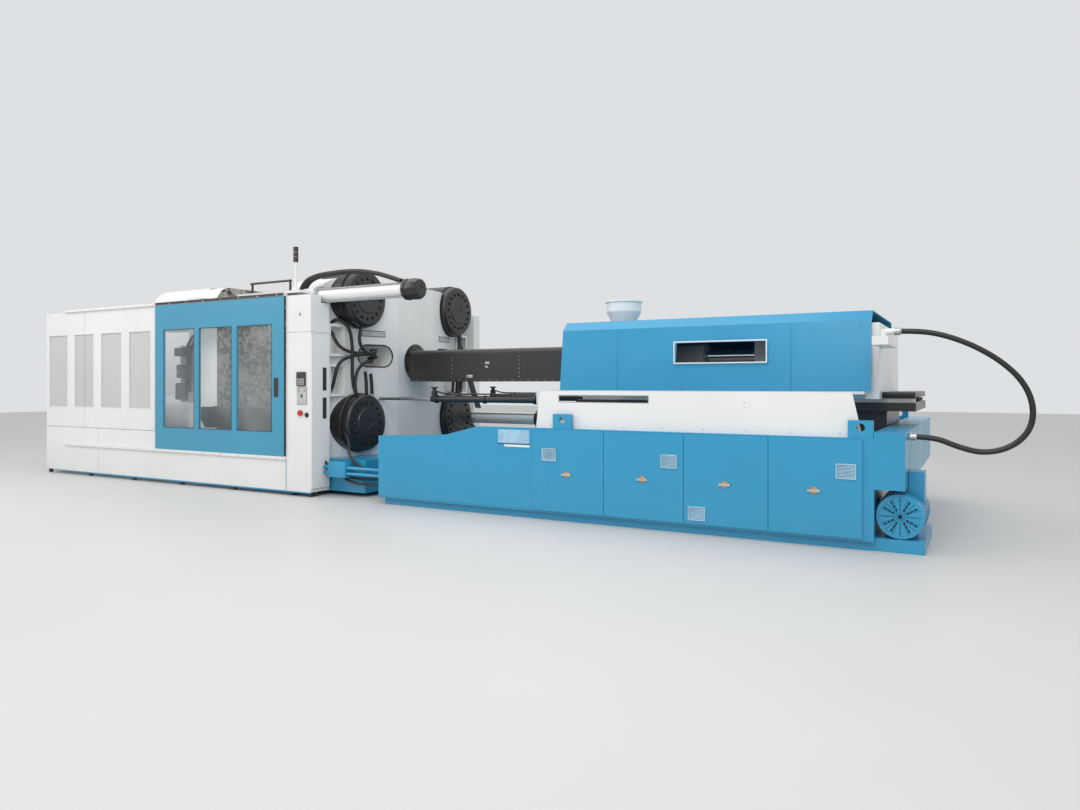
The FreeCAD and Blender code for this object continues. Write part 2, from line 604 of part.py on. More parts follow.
def ejector():
    rear = "-moving_face - moving_thick"
    flange = box("ejector_flange_plate", (f"{rear} - ejector_flange", rear),
                 symmetric("cavity_half_width + flange_overlap"),
                 around("machine_axis", "cavity_half_height + flange_overlap"))
    barrel = rod("ejector_barrel", "X", "ejector_radius", (f"{rear} - ejector_flange - ejector_length",
                 f"{rear} - ejector_flange"), "0", "machine_axis")
    bore = rod("ejector_bore", "X", "ejector_rod + running_gap",
               (f"{rear} - ejector_flange - ejector_length + ejector_wall", f"{rear} + margin"), "0", "machine_axis")
    keep("ejector_cylinder", cut("ejector_cylinder", fuse("ejector_shell", flange, barrel), bore))
    plate = box("ejector_plate_block", (f"{rear} + ejector_inset", f"{rear} + ejector_inset + ejector_plate"),
                symmetric("cavity_half_width - margin"), around("machine_axis", "cavity_half_height - margin"))
    ram = rod("ejector_ram", "X", "ejector_rod", (f"{rear} - ejector_flange - ejector_length + ejector_home",
              f"{rear} + ejector_inset"), "0", "machine_axis")
    pins = ejector_pins("ejector_pin", "pin_radius",
                        (f"{rear} + ejector_inset + ejector_plate", "-moving_face - pin_tip"))
    keep("ejector_plate", fuse("ejector_plate_with_pins", plate, ram, *pins))


def lock_nuts():
    """Split nuts that close on the tie bars' teeth; shown open, each half moved out from its bar."""
    rear = "-moving_face - moving_thick"
    x = (f"{rear} - nut_length", rear)
    for which in SIDES:
        halves = []
        for bar, y, z in BARS:
            ring = tube(f"nut_{which}_{bar}", "X", "nut_radius", "nut_bore", x, "0", z)
            half_box = box(f"nut_half_{which}_{bar}", (f"{x[0]} - margin", f"{x[1]} + margin"),
                           between(which, "0", "nut_radius + margin"), around(z, "nut_radius + margin"))
            half = common(f"lock_nut_{which}_{bar}", ring, half_box)
            place(half, y=f"{y} {'-' if which == 'near' else '+'} nut_open")
            halves.append(half)
        keep(f"lock_nuts_{which}", group(f"lock_nuts_{which}", halves))
    hoods = [tube(f"hood_{bar}", "X", "hood_radius", "hood_radius - hood_sheet",
                  (f"{rear} - hood_length", rear), y, z) for bar, y, z in BARS]
    keep("tie_bar_hoods", group("tie_bar_hoods", hoods))


def traverse_cylinders():
    tubes = []
    rods = []
    for which, y, z in traverse_points():
        tubes.append(tube(f"traverse_tube_{which}", "X", "traverse_radius", "traverse_bore",
                          ("-traverse_start", "traverse_end"), y, z))
        stem = rod(f"traverse_stem_{which}", "X", "traverse_rod", ("-moving_lug_left", "traverse_rod_end"), y, z)
        piston = rod(f"traverse_piston_{which}", "X", "traverse_bore - running_gap",
                     ("traverse_rod_end - traverse_piston", "traverse_rod_end"), y, z)
        rods.append(fuse(f"traverse_rod_{which}", stem, piston))
    keep("traverse_tubes", group("traverse_tubes", tubes))
    keep("traverse_rods", group("traverse_rods", rods))


# ---------------------------------------------------------------- guards, doors and what stands on them
def windows(name, count, x_first, width, pitch, y, z):
    return [box(f"{name}_{i}", (f"{x_first} + {i} * {pitch}", f"{x_first} + {i} * {pitch} + {width}"), y, z)
            for i in range(count)]


def folded_guard(name, z):
    """Front, end and rear walls in one run, open above, below and towards the injection end."""
    outer = box(f"{name}_outer", ("-half_length", "-guard_right"), symmetric("half_width"), z)
    inner = box(f"{name}_inner", ("-half_length + guard_sheet", "-guard_right + margin"),
                symmetric("half_width - guard_sheet"), (f"{z[0]} - margin", f"{z[1]} + margin"))
    return outer, inner


def guards():
    outer, inner = folded_guard("end_guard", ("guard_seam", "guard_top"))
    holes = windows("guard_window", 4, "-window_first", "window_width", "window_pitch",
                    symmetric("half_width + margin"), ("window_low", "window_high"))
    upper = cut("upper_guard", outer, inner, *holes)
    panes = []
    for which in SIDES:
        panes += windows(f"guard_pane_{which}", 4, "-window_first", "window_width", "window_pitch",
                         between(which, "half_width - guard_sheet / 2 - pane", "half_width - guard_sheet / 2"),
                         ("window_low", "window_high"))
    keep("guard_windows", group("guard_windows", panes))
    outer, inner = folded_guard("lower_guard", ("guard_bottom", "guard_seam"))
    sills = [box(f"sill_{which}", ("-guard_right", "-column_left"),
                 between(which, "half_width - guard_sheet", "half_width"), ("guard_bottom", "door_bottom"))
             for which in SIDES]
    keep("clamp_guards", group("clamp_guards", [upper, cut("lower_guard", outer, inner), *sills]))


def door_rails():
    left = "-door_left - door_travel - margin"
    rails = []
    for which in SIDES:
        rails.append(box(f"rail_top_{which}", (left, "-column_left"), between(which, "rail_inner", "door_face"),
                         ("guard_top", "rail_high")))
        rails.append(box(f"rail_low_{which}", (left, "-column_left"), between(which, "half_width", "door_face"),
                         ("rail_low", "door_bottom")))
    keep("door_rails", group("door_rails", rails))


def sliding_doors():
    for which, label in (("near", "front"), ("far", "rear")):
        y = between(which, "door_back", "door_face")
        outer = box(f"{label}_door_outer", ("-door_left", "-door_right"), y, ("door_bottom", "door_top"))
        holes = windows(f"{label}_door_hole", 3, "-door_window_first", "door_window_width", "door_window_pitch",
                        symmetric("door_face + margin"), ("door_window_low", "door_window_high"))
        keep(f"{label}_door", cut(f"{label}_door", outer, *holes))
        middle = "(door_back + door_face) / 2"
        panes = windows(f"{label}_pane", 3, "-door_window_first", "door_window_width", "door_window_pitch",
                        between(which, f"{middle} - pane / 2", f"{middle} + pane / 2"),
                        ("door_window_low", "door_window_high"))
        keep(f"{label}_door_windows", group(f"{label}_door_windows", panes))


def top_fittings():
    cover = box("top_cover_sheet", ("-cover_left", "-cover_right"), between("near", "cover_inner", "half_width"),
                ("rail_high", "cover_top"))
    mast = rod("signal_mast", "Z", "mast_radius", ("cover_top", "mast_top"), "-mast_place", "-mast_side")
    keep("top_cover", fuse("top_cover", cover, mast))
    bar = rod("handrail_bar", "X", "handrail_radius", ("-handrail_left", "-handrail_right"), "-handrail_side",
              "handrail_height")
    posts = [rod(f"handrail_post_{i}", "Z", "handrail_radius", ("cover_top", "handrail_height"), x, "-handrail_side")
             for i, x in enumerate(("-handrail_left + 2 * handrail_radius", "-handrail_right - handrail_radius"))]
    lamps = rod("signal_lamps", "Z", "lamp_radius", ("mast_top", "lamp_top"), "-mast_place", "-mast_side")
    keep("handrail_and_lamps", group("handrail_and_lamps", [fuse("handrail", bar, *posts), lamps]))


def parts_chute():
    """Folded trough that catches parts between the mould and the door, pointed at its left end."""
    middle = "-(chute_inner + chute_outer) / 2"
    outline = [("-chute_outer", "chute_high"), (middle, "chute_low"), ("-chute_inner", "chute_high"),
               ("-chute_inner - 2 * chute_sheet", "chute_high"), (middle, "chute_low + 5 * chute_sheet"),
               ("-chute_outer + 2 * chute_sheet", "chute_high")]
    keep("parts_chute", profile("parts_chute", "YZ", outline, ("-chute_left", "-mould_face")))


# ---------------------------------------------------------------- control column
def columns():
    pair = []
    for which, label, depth in (("near", "control_column", "column_inner"), ("far", "rear_column", "notch_outer")):
        outer = box(f"{label}_outer", ("-column_left", "-column_right"),
                    between(which, depth, "half_width"), ("guard_bottom", "guard_top"))
        inner = box(f"{label}_inner", ("-column_left + column_sheet", "-column_right - column_sheet"),
                    between(which, f"{depth} + column_sheet", "half_width - column_sheet"),
                    ("guard_bottom + column_sheet", "notch_low - column_sheet"))
        notch = box(f"{label}_notch", ("-column_left - margin", "-column_right + margin"),
                    between(which, "column_inner - margin", "notch_outer"), ("notch_low", "guard_top + margin"))
        tools = [inner, notch]
        if which == "near":
            tools.append(box("column_doorway", ("-column_right - column_sheet - margin", "-column_right + margin"),
                             between(which, "column_inner + 2 * column_sheet", "half_width - 2 * column_sheet"),
                             ("panel_low + 2 * column_sheet", "panel_high - 2 * column_sheet")))
        pair.append(cut(label, outer, *tools))
    keep("door_columns", group("door_columns", pair))
    keep("column_door", box("column_door", ("-column_right", "-column_right + panel_thick"),
                            between("near", "column_inner + panel_inset", "half_width - panel_inset"),
                            ("panel_low", "panel_high")))


def operator_controls():
    front = "-half_width"
    keypad = box("keypad", ("-keypad_left", "-keypad_right"), (f"{front} - keypad_thick", front),
                 ("keypad_low", "keypad_high"))
    plate = box("operator_plate", ("-plate_left", "-plate_right"), (f"{front} - plate_thick", front),
                ("plate_low", "plate_high"))
    collars = [tube(f"{name}_collar", "Y", "bezel_radius", f"{name}_radius + running_gap",
                    (f"{front} - collar_length", front), f"-{name}_place", f"{name}_height")
               for name in ("stop", "selector")]
    face = f"{front} - plate_thick"
    collars.append(tube("button_collar", "Y", "button_radius + button_rim", "button_radius + running_gap",
                        (f"{face} - 2 * button_travel", face), "-button_place", "button_height"))
    keep("operator_panel", group("operator_panel", [keypad, plate, *collars]))
    stem = rod("stop_stem", "Y", "stop_radius", (f"{front} - collar_length - stop_travel", f"{front} - stop_travel"),
               "-stop_place", "stop_height")
    head = rod("stop_head", "Y", "stop_radius + stop_brim",
               (f"{front} - collar_length - stop_travel - knob_length", f"{front} - collar_length - stop_travel"),
               "-stop_place", "stop_height")
    keep("emergency_stop", fuse("emergency_stop", stem, head))
    knob = rod("selector_knob", "Y", "selector_radius", (f"{front} - collar_length - knob_length", front),
               "-selector_place", "selector_height")
    grip = box("selector_grip", around("-selector_place", "selector_radius / 4"),
               (f"{front} - collar_length - knob_length - grip_depth", f"{front} - collar_length"),
               around("selector_height", "selector_radius * 0.95"))
    keep("mode_selector", fuse("mode_selector", knob, grip))
    keep("cycle_button", rod("cycle_button", "Y", "button_radius", (f"{face} - 3 * button_travel",
                             f"{face} - button_travel"), "-button_place", "button_height"))


# ---------------------------------------------------------------- injection base
DOOR_EDGES = ("door_first", "door_second", "door_third", "door_fourth", "door_last")


def injection_base():
    low = box("base_low", ("base_left", "base_step + margin"), symmetric("base_side"), ("base_plinth", "deck_top"))
    high = box("base_high", ("base_step", "base_right"), symmetric("base_side"), ("base_plinth", "base_top"))
    plinth = box("base_plinth_frame", ("base_left + plinth_inset", "base_right"),
                 symmetric("base_side - plinth_inset"), ("0", "base_plinth + margin"))
    inside = box("base_plinth_inside", ("base_left + plinth_inset + plinth_sheet", "base_right - plinth_sheet"),
                 symmetric("base_side - plinth_inset - plinth_sheet"), ("-margin", "base_plinth"))
    bays = [box("base_low_bay", ("base_left + base_wall", "base_step - base_wall / 2"),
                symmetric("base_side - base_wall"), ("base_plinth + base_wall", "deck_top - base_wall"))]
    for left, right in zip(DOOR_EDGES, DOOR_EDGES[1:]):
        bays.append(box(f"bay_{left}", (f"{left} + base_wall / 2", f"{right} - base_wall / 2"),
                        symmetric("base_side - base_wall"), ("base_plinth + base_wall", "base_top - base_wall")))
        bays.append(box(f"doorway_{left}", (f"{left} + door_opening", f"{right} - door_opening"),
                        ("-base_side - margin", "-base_side + 2 * base_wall"),
                        ("base_door_low + door_opening", "base_door_high - door_opening")))
    hollow = cut("base_hollow", fuse("base_weldment", low, high, plinth), inside, *bays)
    end_box = box("end_box", ("base_right", "end_box_right"), symmetric("base_side"), ("end_box_low", "end_box_top"))
    tray = box("pump_tray", ("base_right", "half_length"), ("-tray_front", "-tray_back"), ("0", "tray_high"))
    stubs = [rod(f"hose_stub_{sign}", "X", "loop_radius + 4", ("end_box_right", "end_box_right + ferrule_length"),
                 f"-loop_side {sign} loop_spacing / 2", "loop_foot") for sign in ("-", "+")]
    keep("injection_base", fuse("injection_base", hollow, end_box, tray, *stubs, *skirts(), *lifting_lugs()))


def skirts():
    """Front and rear sheets of the low deck; the top edge rises in two slopes to the high part."""
    end = "base_step + base_door_sheet"
    outline = [("base_left", "front_low"), (end, "front_low"), (end, "base_top"),
               ("front_third", "base_top"), ("front_bend", "front_second"), ("base_left", "front_first")]
    return [profile(f"skirt_{which}", "XZ", outline, between(which, "base_side", "base_side + front_sheet"))
            for which in SIDES]


def base_doors():
    for number, (left, right) in enumerate(zip(DOOR_EDGES, DOOR_EDGES[1:]), start=1):
        x = (f"{left} + door_seam / 2", f"{right} - door_seam / 2")
        z = ("base_door_low", "base_door_high")
        outer = box(f"door_outer_{number}", x, ("-half_width", "-base_side"), z)
        inner = box(f"door_inner_{number}", (f"{x[0]} + base_door_sheet", f"{x[1]} - base_door_sheet"),
                    ("-half_width + base_door_sheet", "-base_side + margin"),
                    (f"{z[0]} + base_door_sheet", f"{z[1]} - base_door_sheet"))
        middle = f"({left} + {right}) / 2"
        hole = rod(f"latch_hole_{number}", "Y", "latch_radius + running_gap", ("-half_width - margin", "-base_side"),
                   middle, "latch_height")
        keep(f"base_door_{number}", cut(f"base_door_{number}", outer, inner, hole))
        barrel = rod(f"latch_barrel_{number}", "Y", "latch_radius", ("-half_width", "-base_side - latch_relief"),
                     middle,
                     "latch_height")
        rim = rod(f"latch_rim_{number}", "Y", "latch_radius + latch_rim", ("-half_width - latch_rim_thick",
                                                                           "-half_width"), middle,
                  "latch_height")
        grip = box(f"latch_grip_{number}", around(middle, "latch_grip"),
                   ("-half_width - latch_rim_thick - latch_thick", "-half_width - latch_rim_thick"),
                   around("latch_height", "latch_thick"))
        keep(f"door_latch_{number}", fuse(f"door_latch_{number}", barrel, rim, grip))


def lifting_lugs():
    plates = []
    for which in SIDES:
        for name in ("front", "rear"):
            plate = box(f"{name}_lug_{which}", (f"{name}_lug_left", f"{name}_lug_right"),
                        between(which, "lug_side", "lug_side + lug_thick"), ("base_top", "base_top + lug_height"))
            hole = rod(f"{name}_lug_hole_{which}", "Y", "lug_hole",
                       between(which, "lug_side - margin", "lug_side + lug_thick + margin"),
                       f"({name}_lug_left + {name}_lug_right) / 2", "base_top + lug_height * 0.6")
            plates.append(cut(f"{name}_lug_{which}_plate", plate, hole))
    return plates


def turn_parts(degrees):
    """Cosine and sine of an angle, as text for an expression."""
    angle = math.radians(degrees)
    return f"{math.cos(angle):.4f}", f"{math.sin(angle):.4f}"


def pump_set():
    barrel = rod("motor_barrel", "Y", "motor_radius", ("-motor_front", "-motor_back"), "motor_place", "motor_height")
    foot = box("motor_foot", around("motor_place", "motor_radius * 0.7"),
               ("-motor_front + motor_foot_inset", "-motor_back - motor_foot_inset"), ("tray_high", "motor_height"))
    terminals = box("motor_terminals", ("motor_place + terminal_offset", "half_length - margin"),
                    ("-motor_front + terminal_front", "-motor_front + terminal_front + terminal_length"),
                    ("motor_height", "end_box_low + terminal_rise"))
    bore = rod("motor_shaft_bore", "Y", "motor_bore", ("-motor_front - margin", "-motor_back + margin"),
               "motor_place", "motor_height")
    casting = cut("motor_casting", fuse("motor_body", barrel, foot, terminals), bore)
    tank = box("oil_tank", ("tank_left", "tank_right"), ("tank_front", "tank_back"),
               ("base_plinth + base_wall", "tank_top"))
    pump = cut("hydraulic_pump", rod("pump_barrel", "Y", "pump_radius",
                               ("-motor_back", "-pump_back"), "motor_place", "motor_height"),
                               rod("pump_bore", "Y", "motor_bore", ("-motor_back - margin",
                                                                    "-motor_back + pump_bore_depth"),
                                   "motor_place", "motor_height"))
    keep("pump_and_oil_tank", group("pump_and_oil_tank", [pump, tank]))
    cover = rod("fan_cover_outer", "Y", "motor_radius - fan_cover_inset", ("-fan_cover_front", "-motor_front"),
                "motor_place",
                "motor_height")
    hollow = rod("fan_cover_inner", "Y", "motor_radius - fan_cover_inset - fan_cover_sheet",
                 ("-fan_cover_front + fan_cover_sheet", "-motor_front + margin"), "motor_place", "motor_height")
    grille = []
    for i in range(12):
        slot = box(f"grille_slot_{i}", ("grille_inner", "motor_radius - fan_cover_inset - grille_rim"),
                   ("-fan_cover_front - margin",
                   "-fan_cover_front + margin"), symmetric("grille_slot_half"))
        slot.Placement = FreeCAD.Placement(V(), FreeCAD.Rotation(V(0, 1, 0), 30 * i))
        cosine, sine = turn_parts(30 * i)
        bind(slot, "Placement.Base.x", f"motor_place + grille_inner * {cosine} - grille_slot_half * {sine}")
        bind(slot, "Placement.Base.y", "-fan_cover_front - margin")
        bind(slot, "Placement.Base.z", f"motor_height - grille_inner * {sine} - grille_slot_half * {cosine}")
        grille.append(slot)
    keep("pump_motor", fuse("pump_motor", casting, cut("fan_cover", cover, hollow, *grille)))
    y = ("-fan_cover_front + fan_cover_sheet + fan_gap", "-motor_front - fan_gap")
    shaft = rod("fan_shaft", "Y", "shaft_radius", (y[0], "-motor_back + shaft_reach"), "motor_place", "motor_height")
    hub = rod("fan_hub", "Y", "fan_hub", y, "motor_place", "motor_height")
    blades = []
    for i in range(3):
        blade = box(f"fan_blade_{i}", ("-fan_radius", "fan_radius"), y, symmetric("blade_half"))
        blade.Placement = FreeCAD.Placement(V(), FreeCAD.Rotation(V(0, 1, 0), 60 * i))
        cosine, sine = turn_parts(60 * i)
        bind(blade, "Placement.Base.x", f"motor_place - fan_radius * {cosine} - blade_half * {sine}")
        bind(blade, "Placement.Base.y", y[0])
        bind(blade, "Placement.Base.z", f"motor_height + fan_radius * {sine} - blade_half * {cosine}")
        blades.append(blade)
    keep("motor_fan", fuse("motor_fan", shaft, hub, *blades))


# ---------------------------------------------------------------- injection unit
def side_screens():
    outline = [("screen_left_low", "base_top"), ("screen_right_low", "base_top"),
               ("screen_right_high", "screen_top"), ("screen_left_high", "screen_top")]
    screens = []
    for which in SIDES:
        sheet = profile(f"screen_{which}", "XZ", outline, between(which, "screen_side - screen_sheet", "screen_side"))
        slot = box(f"screen_slot_{which}", ("slot_left", "slot_right"),
                   between(which, "screen_side - screen_sheet - margin", "screen_side + margin"),
                   ("slot_low", "slot_high"))
        screens.append(cut(f"screen_{which}_sheet", sheet, slot))
    keep("side_screens", group("side_screens", screens))


def slideway():
    pedestal = box("pedestal", ("pedestal_left", "pedestal_right"), symmetric("pedestal_half"),
                   ("base_top", "pedestal_top"))
    beam = box("slide_beam", ("slide_left", "slide_right"), symmetric("slide_half"), ("pedestal_top", "slide_top"))
    keep("slideway_beam", fuse("slideway_beam", pedestal, beam))


def carriage():
    plate = box("carriage_plate", ("carriage_left", "carriage_right"), symmetric("carriage_half"),
                ("linear_top", "carriage_top"))
    ledges = [box(f"cover_ledge_{which}", ("carriage_left", "carriage_right"),
                  between(which, "carriage_half", "cover_half"), ("carriage_top - ledge_thick", "carriage_top"))
              for which in SIDES]
    brackets = []
    for which in SIDES:
        y = between(which, "puller_side - puller_lug_half", "puller_side + puller_lug_half")
        brackets.append(box(f"puller_block_{which}", ("puller_right", "puller_right + puller_lug_thick"), y,
                            ("puller_height - puller_radius", "carriage_top")))
        brackets.append(box(f"puller_arm_{which}", ("puller_right + puller_lug_thick", "carriage_left"), y,
                            ("linear_top + arm_clearance", "carriage_top")))
    tail = box("tail_plate", ("tail_left", "tail_right"), symmetric("tail_half"), ("linear_top", "tail_top"))
    arm = box("hose_arm", ("tail_right", "tail_right + arm_length"),
              ("-loop_side - loop_spacing - margin", "-tail_half + arm_root"), ("arm_low", "arm_high"))
    keep("carriage_frame", fuse("carriage_frame", plate, *ledges, *brackets, tail, arm))
    block = box("housing_block", ("housing_left", "housing_right"), symmetric("housing_half"),
                ("carriage_top", "housing_top"))
    bore = rod("housing_bore", "X", "barrel_radius + running_gap / 5", ("housing_left - margin",
               "housing_right + margin"), "0", "machine_axis")
    throat = rod("feed_throat", "Z", "throat_radius", ("machine_axis", "housing_top + margin"),
                 "(hopper_left + hopper_right) / 2", "0")
    keep("feed_housing", cut("feed_housing", block, bore, throat))


def barrel():
    outer = fuse("barrel_outer", rod("barrel_tube", "X", "barrel_radius", ("-barrel_left", "housing_right"), "0",
                                     "machine_axis"),
                 taper("nozzle_cone", "X", "nozzle_end", "nozzle_root", ("-nozzle_left", "-barrel_left"), "0",
                       "machine_axis"))
    bore = rod("barrel_bore", "X", "barrel_bore", ("-barrel_left + margin", "housing_right + margin"), "0",
               "machine_axis")
    nozzle = rod("nozzle_hole", "X", "nozzle_hole", ("-nozzle_left - margin", "-barrel_left + 2 * margin"), "0",
                 "machine_axis")
    throat = rod("barrel_throat", "Z", "throat_radius * 0.6", ("machine_axis",
                                                               "machine_axis + barrel_radius + margin"),
                 "(hopper_left + hopper_right) / 2", "0")
    keep("barrel", cut("barrel", outer, bore, nozzle, throat))
    bands = [tube(f"heater_{i}", "X", "barrel_radius + heater_thick", "barrel_radius + running_gap / 5",
                  (f"-heater_first + {i} * heater_pitch", f"-heater_first + {i} * heater_pitch + heater_width"),
                  "0", "machine_axis") for i in range(9)]
    keep("heater_bands", group("heater_bands", bands))


def plasticising_screw():
    core = rod("screw_core", "X", "screw_root", ("-screw_left", "screw_drive_left"), "0", "machine_axis")
    journal = rod("screw_journal", "X", "screw_radius", ("screw_drive_left", "crosshead_left"), "0", "machine_axis")
    spline = rod("screw_spline", "X", "screw_root", ("crosshead_left", "crosshead_right + screw_socket"), "0",
                 "machine_axis")
    flights = [rod(f"flight_{i}", "X", "screw_radius",
                   (f"-screw_left + margin + {i} * flight_pitch", f"-screw_left + margin + {i} * flight_pitch"
                    " + flight_width"), "0", "machine_axis") for i in range(18)]
    keep("plasticising_screw", fuse("plasticising_screw", core, journal, spline, *flights))


def injection_rams():
    """Two hydraulic cylinders pull the crosshead and the screw towards the feed housing."""
    cylinders = []
    rods = []
    for which in SIDES:
        y = side(which, "ram_side")
        shell = rod(f"ram_shell_{which}", "X", "ram_radius", ("housing_right", "ram_right"), y, "machine_axis")
        bore = rod(f"ram_bore_{which}", "X", "ram_bore", ("housing_right + ram_wall", "ram_right - ram_wall"), y,
                   "machine_axis")
        gland = rod(f"ram_gland_{which}", "X", "rod_radius + running_gap", ("ram_right - ram_wall - margin",
                    "ram_right + margin"), y, "machine_axis")
        cylinders.append(cut(f"ram_{which}", shell, bore, gland))
        stem = rod(f"ram_stem_{which}", "X", "rod_radius", ("ram_right - rod_insert", "crosshead_left"), y,
                   "machine_axis")
        piston = rod(f"ram_piston_{which}", "X", "ram_bore - running_gap", ("ram_right - ram_piston_start",
                                                                            "ram_right - ram_piston_end"), y,
                     "machine_axis")
        rods.append(fuse(f"ram_rod_{which}", stem, piston))
    keep("injection_cylinders", group("injection_cylinders", cylinders))
    keep("injection_rods", group("injection_rods", rods))
    block = box("crosshead_block", ("crosshead_left", "crosshead_right"), symmetric("crosshead_half"),
                ("crosshead_low", "crosshead_high"))
    bore = rod("crosshead_bore", "X", "screw_root + running_gap", ("crosshead_left - margin",
               "crosshead_right + margin"), "0", "machine_axis")
    runners = [box(f"runner_{which}", ("crosshead_left", "crosshead_right"),
                   between(which, "crosshead_half - crosshead_leg", "crosshead_half"), ("carriage_top",
                                                                                        "crosshead_low"))
               for which in SIDES]
    motor = fuse("screw_motor_body", rod("screw_motor_flange", "X", "motor_flange", ("crosshead_right",
                 "crosshead_right + motor_flange_thick"), "0", "machine_axis"),
                 rod("screw_motor_barrel", "X", "screw_motor_radius", ("crosshead_right + motor_flange_thick",
                                                                       "screw_motor_right"),
                     "0", "machine_axis"))
    socket = rod("screw_motor_socket", "X", "screw_root + running_gap", ("crosshead_right - margin",
                 "crosshead_right + screw_socket + margin"), "0", "machine_axis")
    keep("crosshead", cut("crosshead", fuse("crosshead_with_motor", block, *runners, motor), bore, socket))


def shroud():
    """Folded cover over the barrel, open below, with one hole in its end for the barrel."""
    outline = [("-shroud_half", "shroud_low"), ("shroud_half", "shroud_low"), ("shroud_half", "shroud_high"),
               ("-shroud_half", "shroud_high")]
    outer = rounded(profile("shroud_outer", "YZ", outline, ("-shroud_left", "shroud_right")), V(1, 0, 0),
                    "shroud_round", lambda edge: edge.BoundBox.ZMin > value("shroud_high") - 1)
    hollow = [(f"{y} {sign} shroud_sheet", z) for y, sign, z in
              (("-shroud_half", "+", "shroud_low - margin"), ("shroud_half", "-", "shroud_low - margin"),
               ("shroud_half", "-", "shroud_high - shroud_sheet"), ("-shroud_half", "+",
                                                                    "shroud_high - shroud_sheet"))]
    inner = rounded(profile("shroud_inner", "YZ", hollow, ("-shroud_left + shroud_sheet", "shroud_right + margin")),
                    V(1, 0, 0), "shroud_round - shroud_sheet",
                    lambda edge: edge.BoundBox.ZMin > value("shroud_high") - SIZE["shroud_sheet"] - 1)
    hole = rod("shroud_hole", "X", "barrel_radius + margin / 2", ("-shroud_left - margin", "-shroud_left + margin"),
               "0", "machine_axis")
    keep("barrel_shroud", cut("barrel_shroud", outer, inner, hole))


def unit_cover():
    """Cover over the injection unit, bent in above its shoulders and open below and at both ends."""
    def arch(name, inset, foot, x):
        points = [("-cover_half", foot), ("-cover_shoulder", "cover_bend"), ("-cover_crown", "cover_high"),
                  ("cover_crown", "cover_high"), ("cover_shoulder", "cover_bend"), ("cover_half", foot)]
        moved = []
        for y, z in points:
            sign = "+" if y.startswith("-") else "-"
            moved.append((f"{y} {sign} {inset}", z if z == foot else f"{z} - {inset}"))
        return profile(name, "YZ", moved, x)
    outer = arch("unit_cover_outer", "0", "cover_foot", ("cover_front", "cover_back"))
    inner = arch("unit_cover_inner", "cover_sheet", "cover_foot", ("cover_front - margin", "cover_back + margin"))
    below = box("unit_cover_below", ("cover_front - margin", "cover_back + margin"),
                symmetric("cover_half - cover_sheet"), ("cover_foot - margin", "cover_foot"))
    window = box("unit_window", ("view_left", "view_right"), ("-cover_half - margin", "-cover_half / 2"),
                 ("view_low", "view_high"))
    slot = box("hopper_slot", ("hopper_left - margin", "hopper_right + margin"),
               symmetric("(hopper_right - hopper_left) / 2 + margin"), ("cover_bend", "cover_high + margin"))
    keep("unit_cover", cut("unit_cover", outer, inner, below, window, slot))


def hopper():
    middle = "(hopper_left + hopper_right) / 2"
    half = "(hopper_right - hopper_left) / 2"
    outer = fuse("hopper_outer",
                 rod("hopper_neck", "Z", "hopper_neck_half", ("housing_top", "hopper_neck"), middle, "0"),
                 taper("hopper_cone", "Z", "hopper_neck_half", half, ("hopper_neck - cone_start",
                                                                      "hopper_neck + cone_end"),
                       middle, "0"),
                 rod("hopper_bin", "Z", half, ("hopper_neck + cone_end", "hopper_top"), middle, "0"))
    inner = fuse("hopper_inner",
                 rod("hopper_neck_bore", "Z", "hopper_neck_half - hopper_sheet",
                     ("housing_top - margin", "hopper_neck"), middle, "0"),
                 taper("hopper_cone_bore", "Z", "hopper_neck_half - hopper_sheet", f"{half} - hopper_sheet",
                       ("hopper_neck - cone_start + hopper_sheet", "hopper_neck + cone_end + hopper_sheet"), middle,
                       "0"),
                 rod("hopper_bin_bore", "Z", f"{half} - hopper_sheet",
                     ("hopper_neck + cone_end + hopper_sheet", "hopper_top + margin"), middle, "0"))
    keep("hopper", cut("hopper", outer, inner))


def carriage_cylinders():
    """Pull-in cylinders: each rod is anchored in the fixed platen and its tube pulls the carriage."""
    tubes = []
    for which in SIDES:
        y = side(which, "puller_side")
        shell = rod(f"puller_tube_{which}", "X", "puller_radius", ("puller_left", "puller_right"), y,
                    "puller_height")
        riser = rod(f"puller_riser_{which}", "Z", "elbow_radius", ("puller_height", "elbow_height"),
                    "puller_left + puller_radius", y)
        bore = rod(f"puller_bore_{which}", "X", "puller_bore", ("puller_left + puller_wall",
                                                                "puller_right - puller_wall"), y,
                   "puller_height")
        gland = rod(f"puller_gland_{which}", "X", "puller_rod + running_gap", ("puller_left - margin",
                    "puller_left + puller_wall + margin"), y, "puller_height")
        tubes.append(cut(f"puller_{which}", fuse(f"puller_shell_{which}", shell, riser), bore, gland))
    keep("carriage_cylinders", group("carriage_cylinders", tubes))


# ---------------------------------------------------------------- hose loop behind the injection unit
LOOP_ROUTE = [  # X and Z of each point after the upper fitting and before the lower one
    (7090, 2120), (7320, 2078), (7570, 1972), (7800, 1822), (7985, 1625), (8070, 1390), (8035, 1160),
    (7870, 1000), (7650, 948), (7440, 1005), (7260, 1085),
]


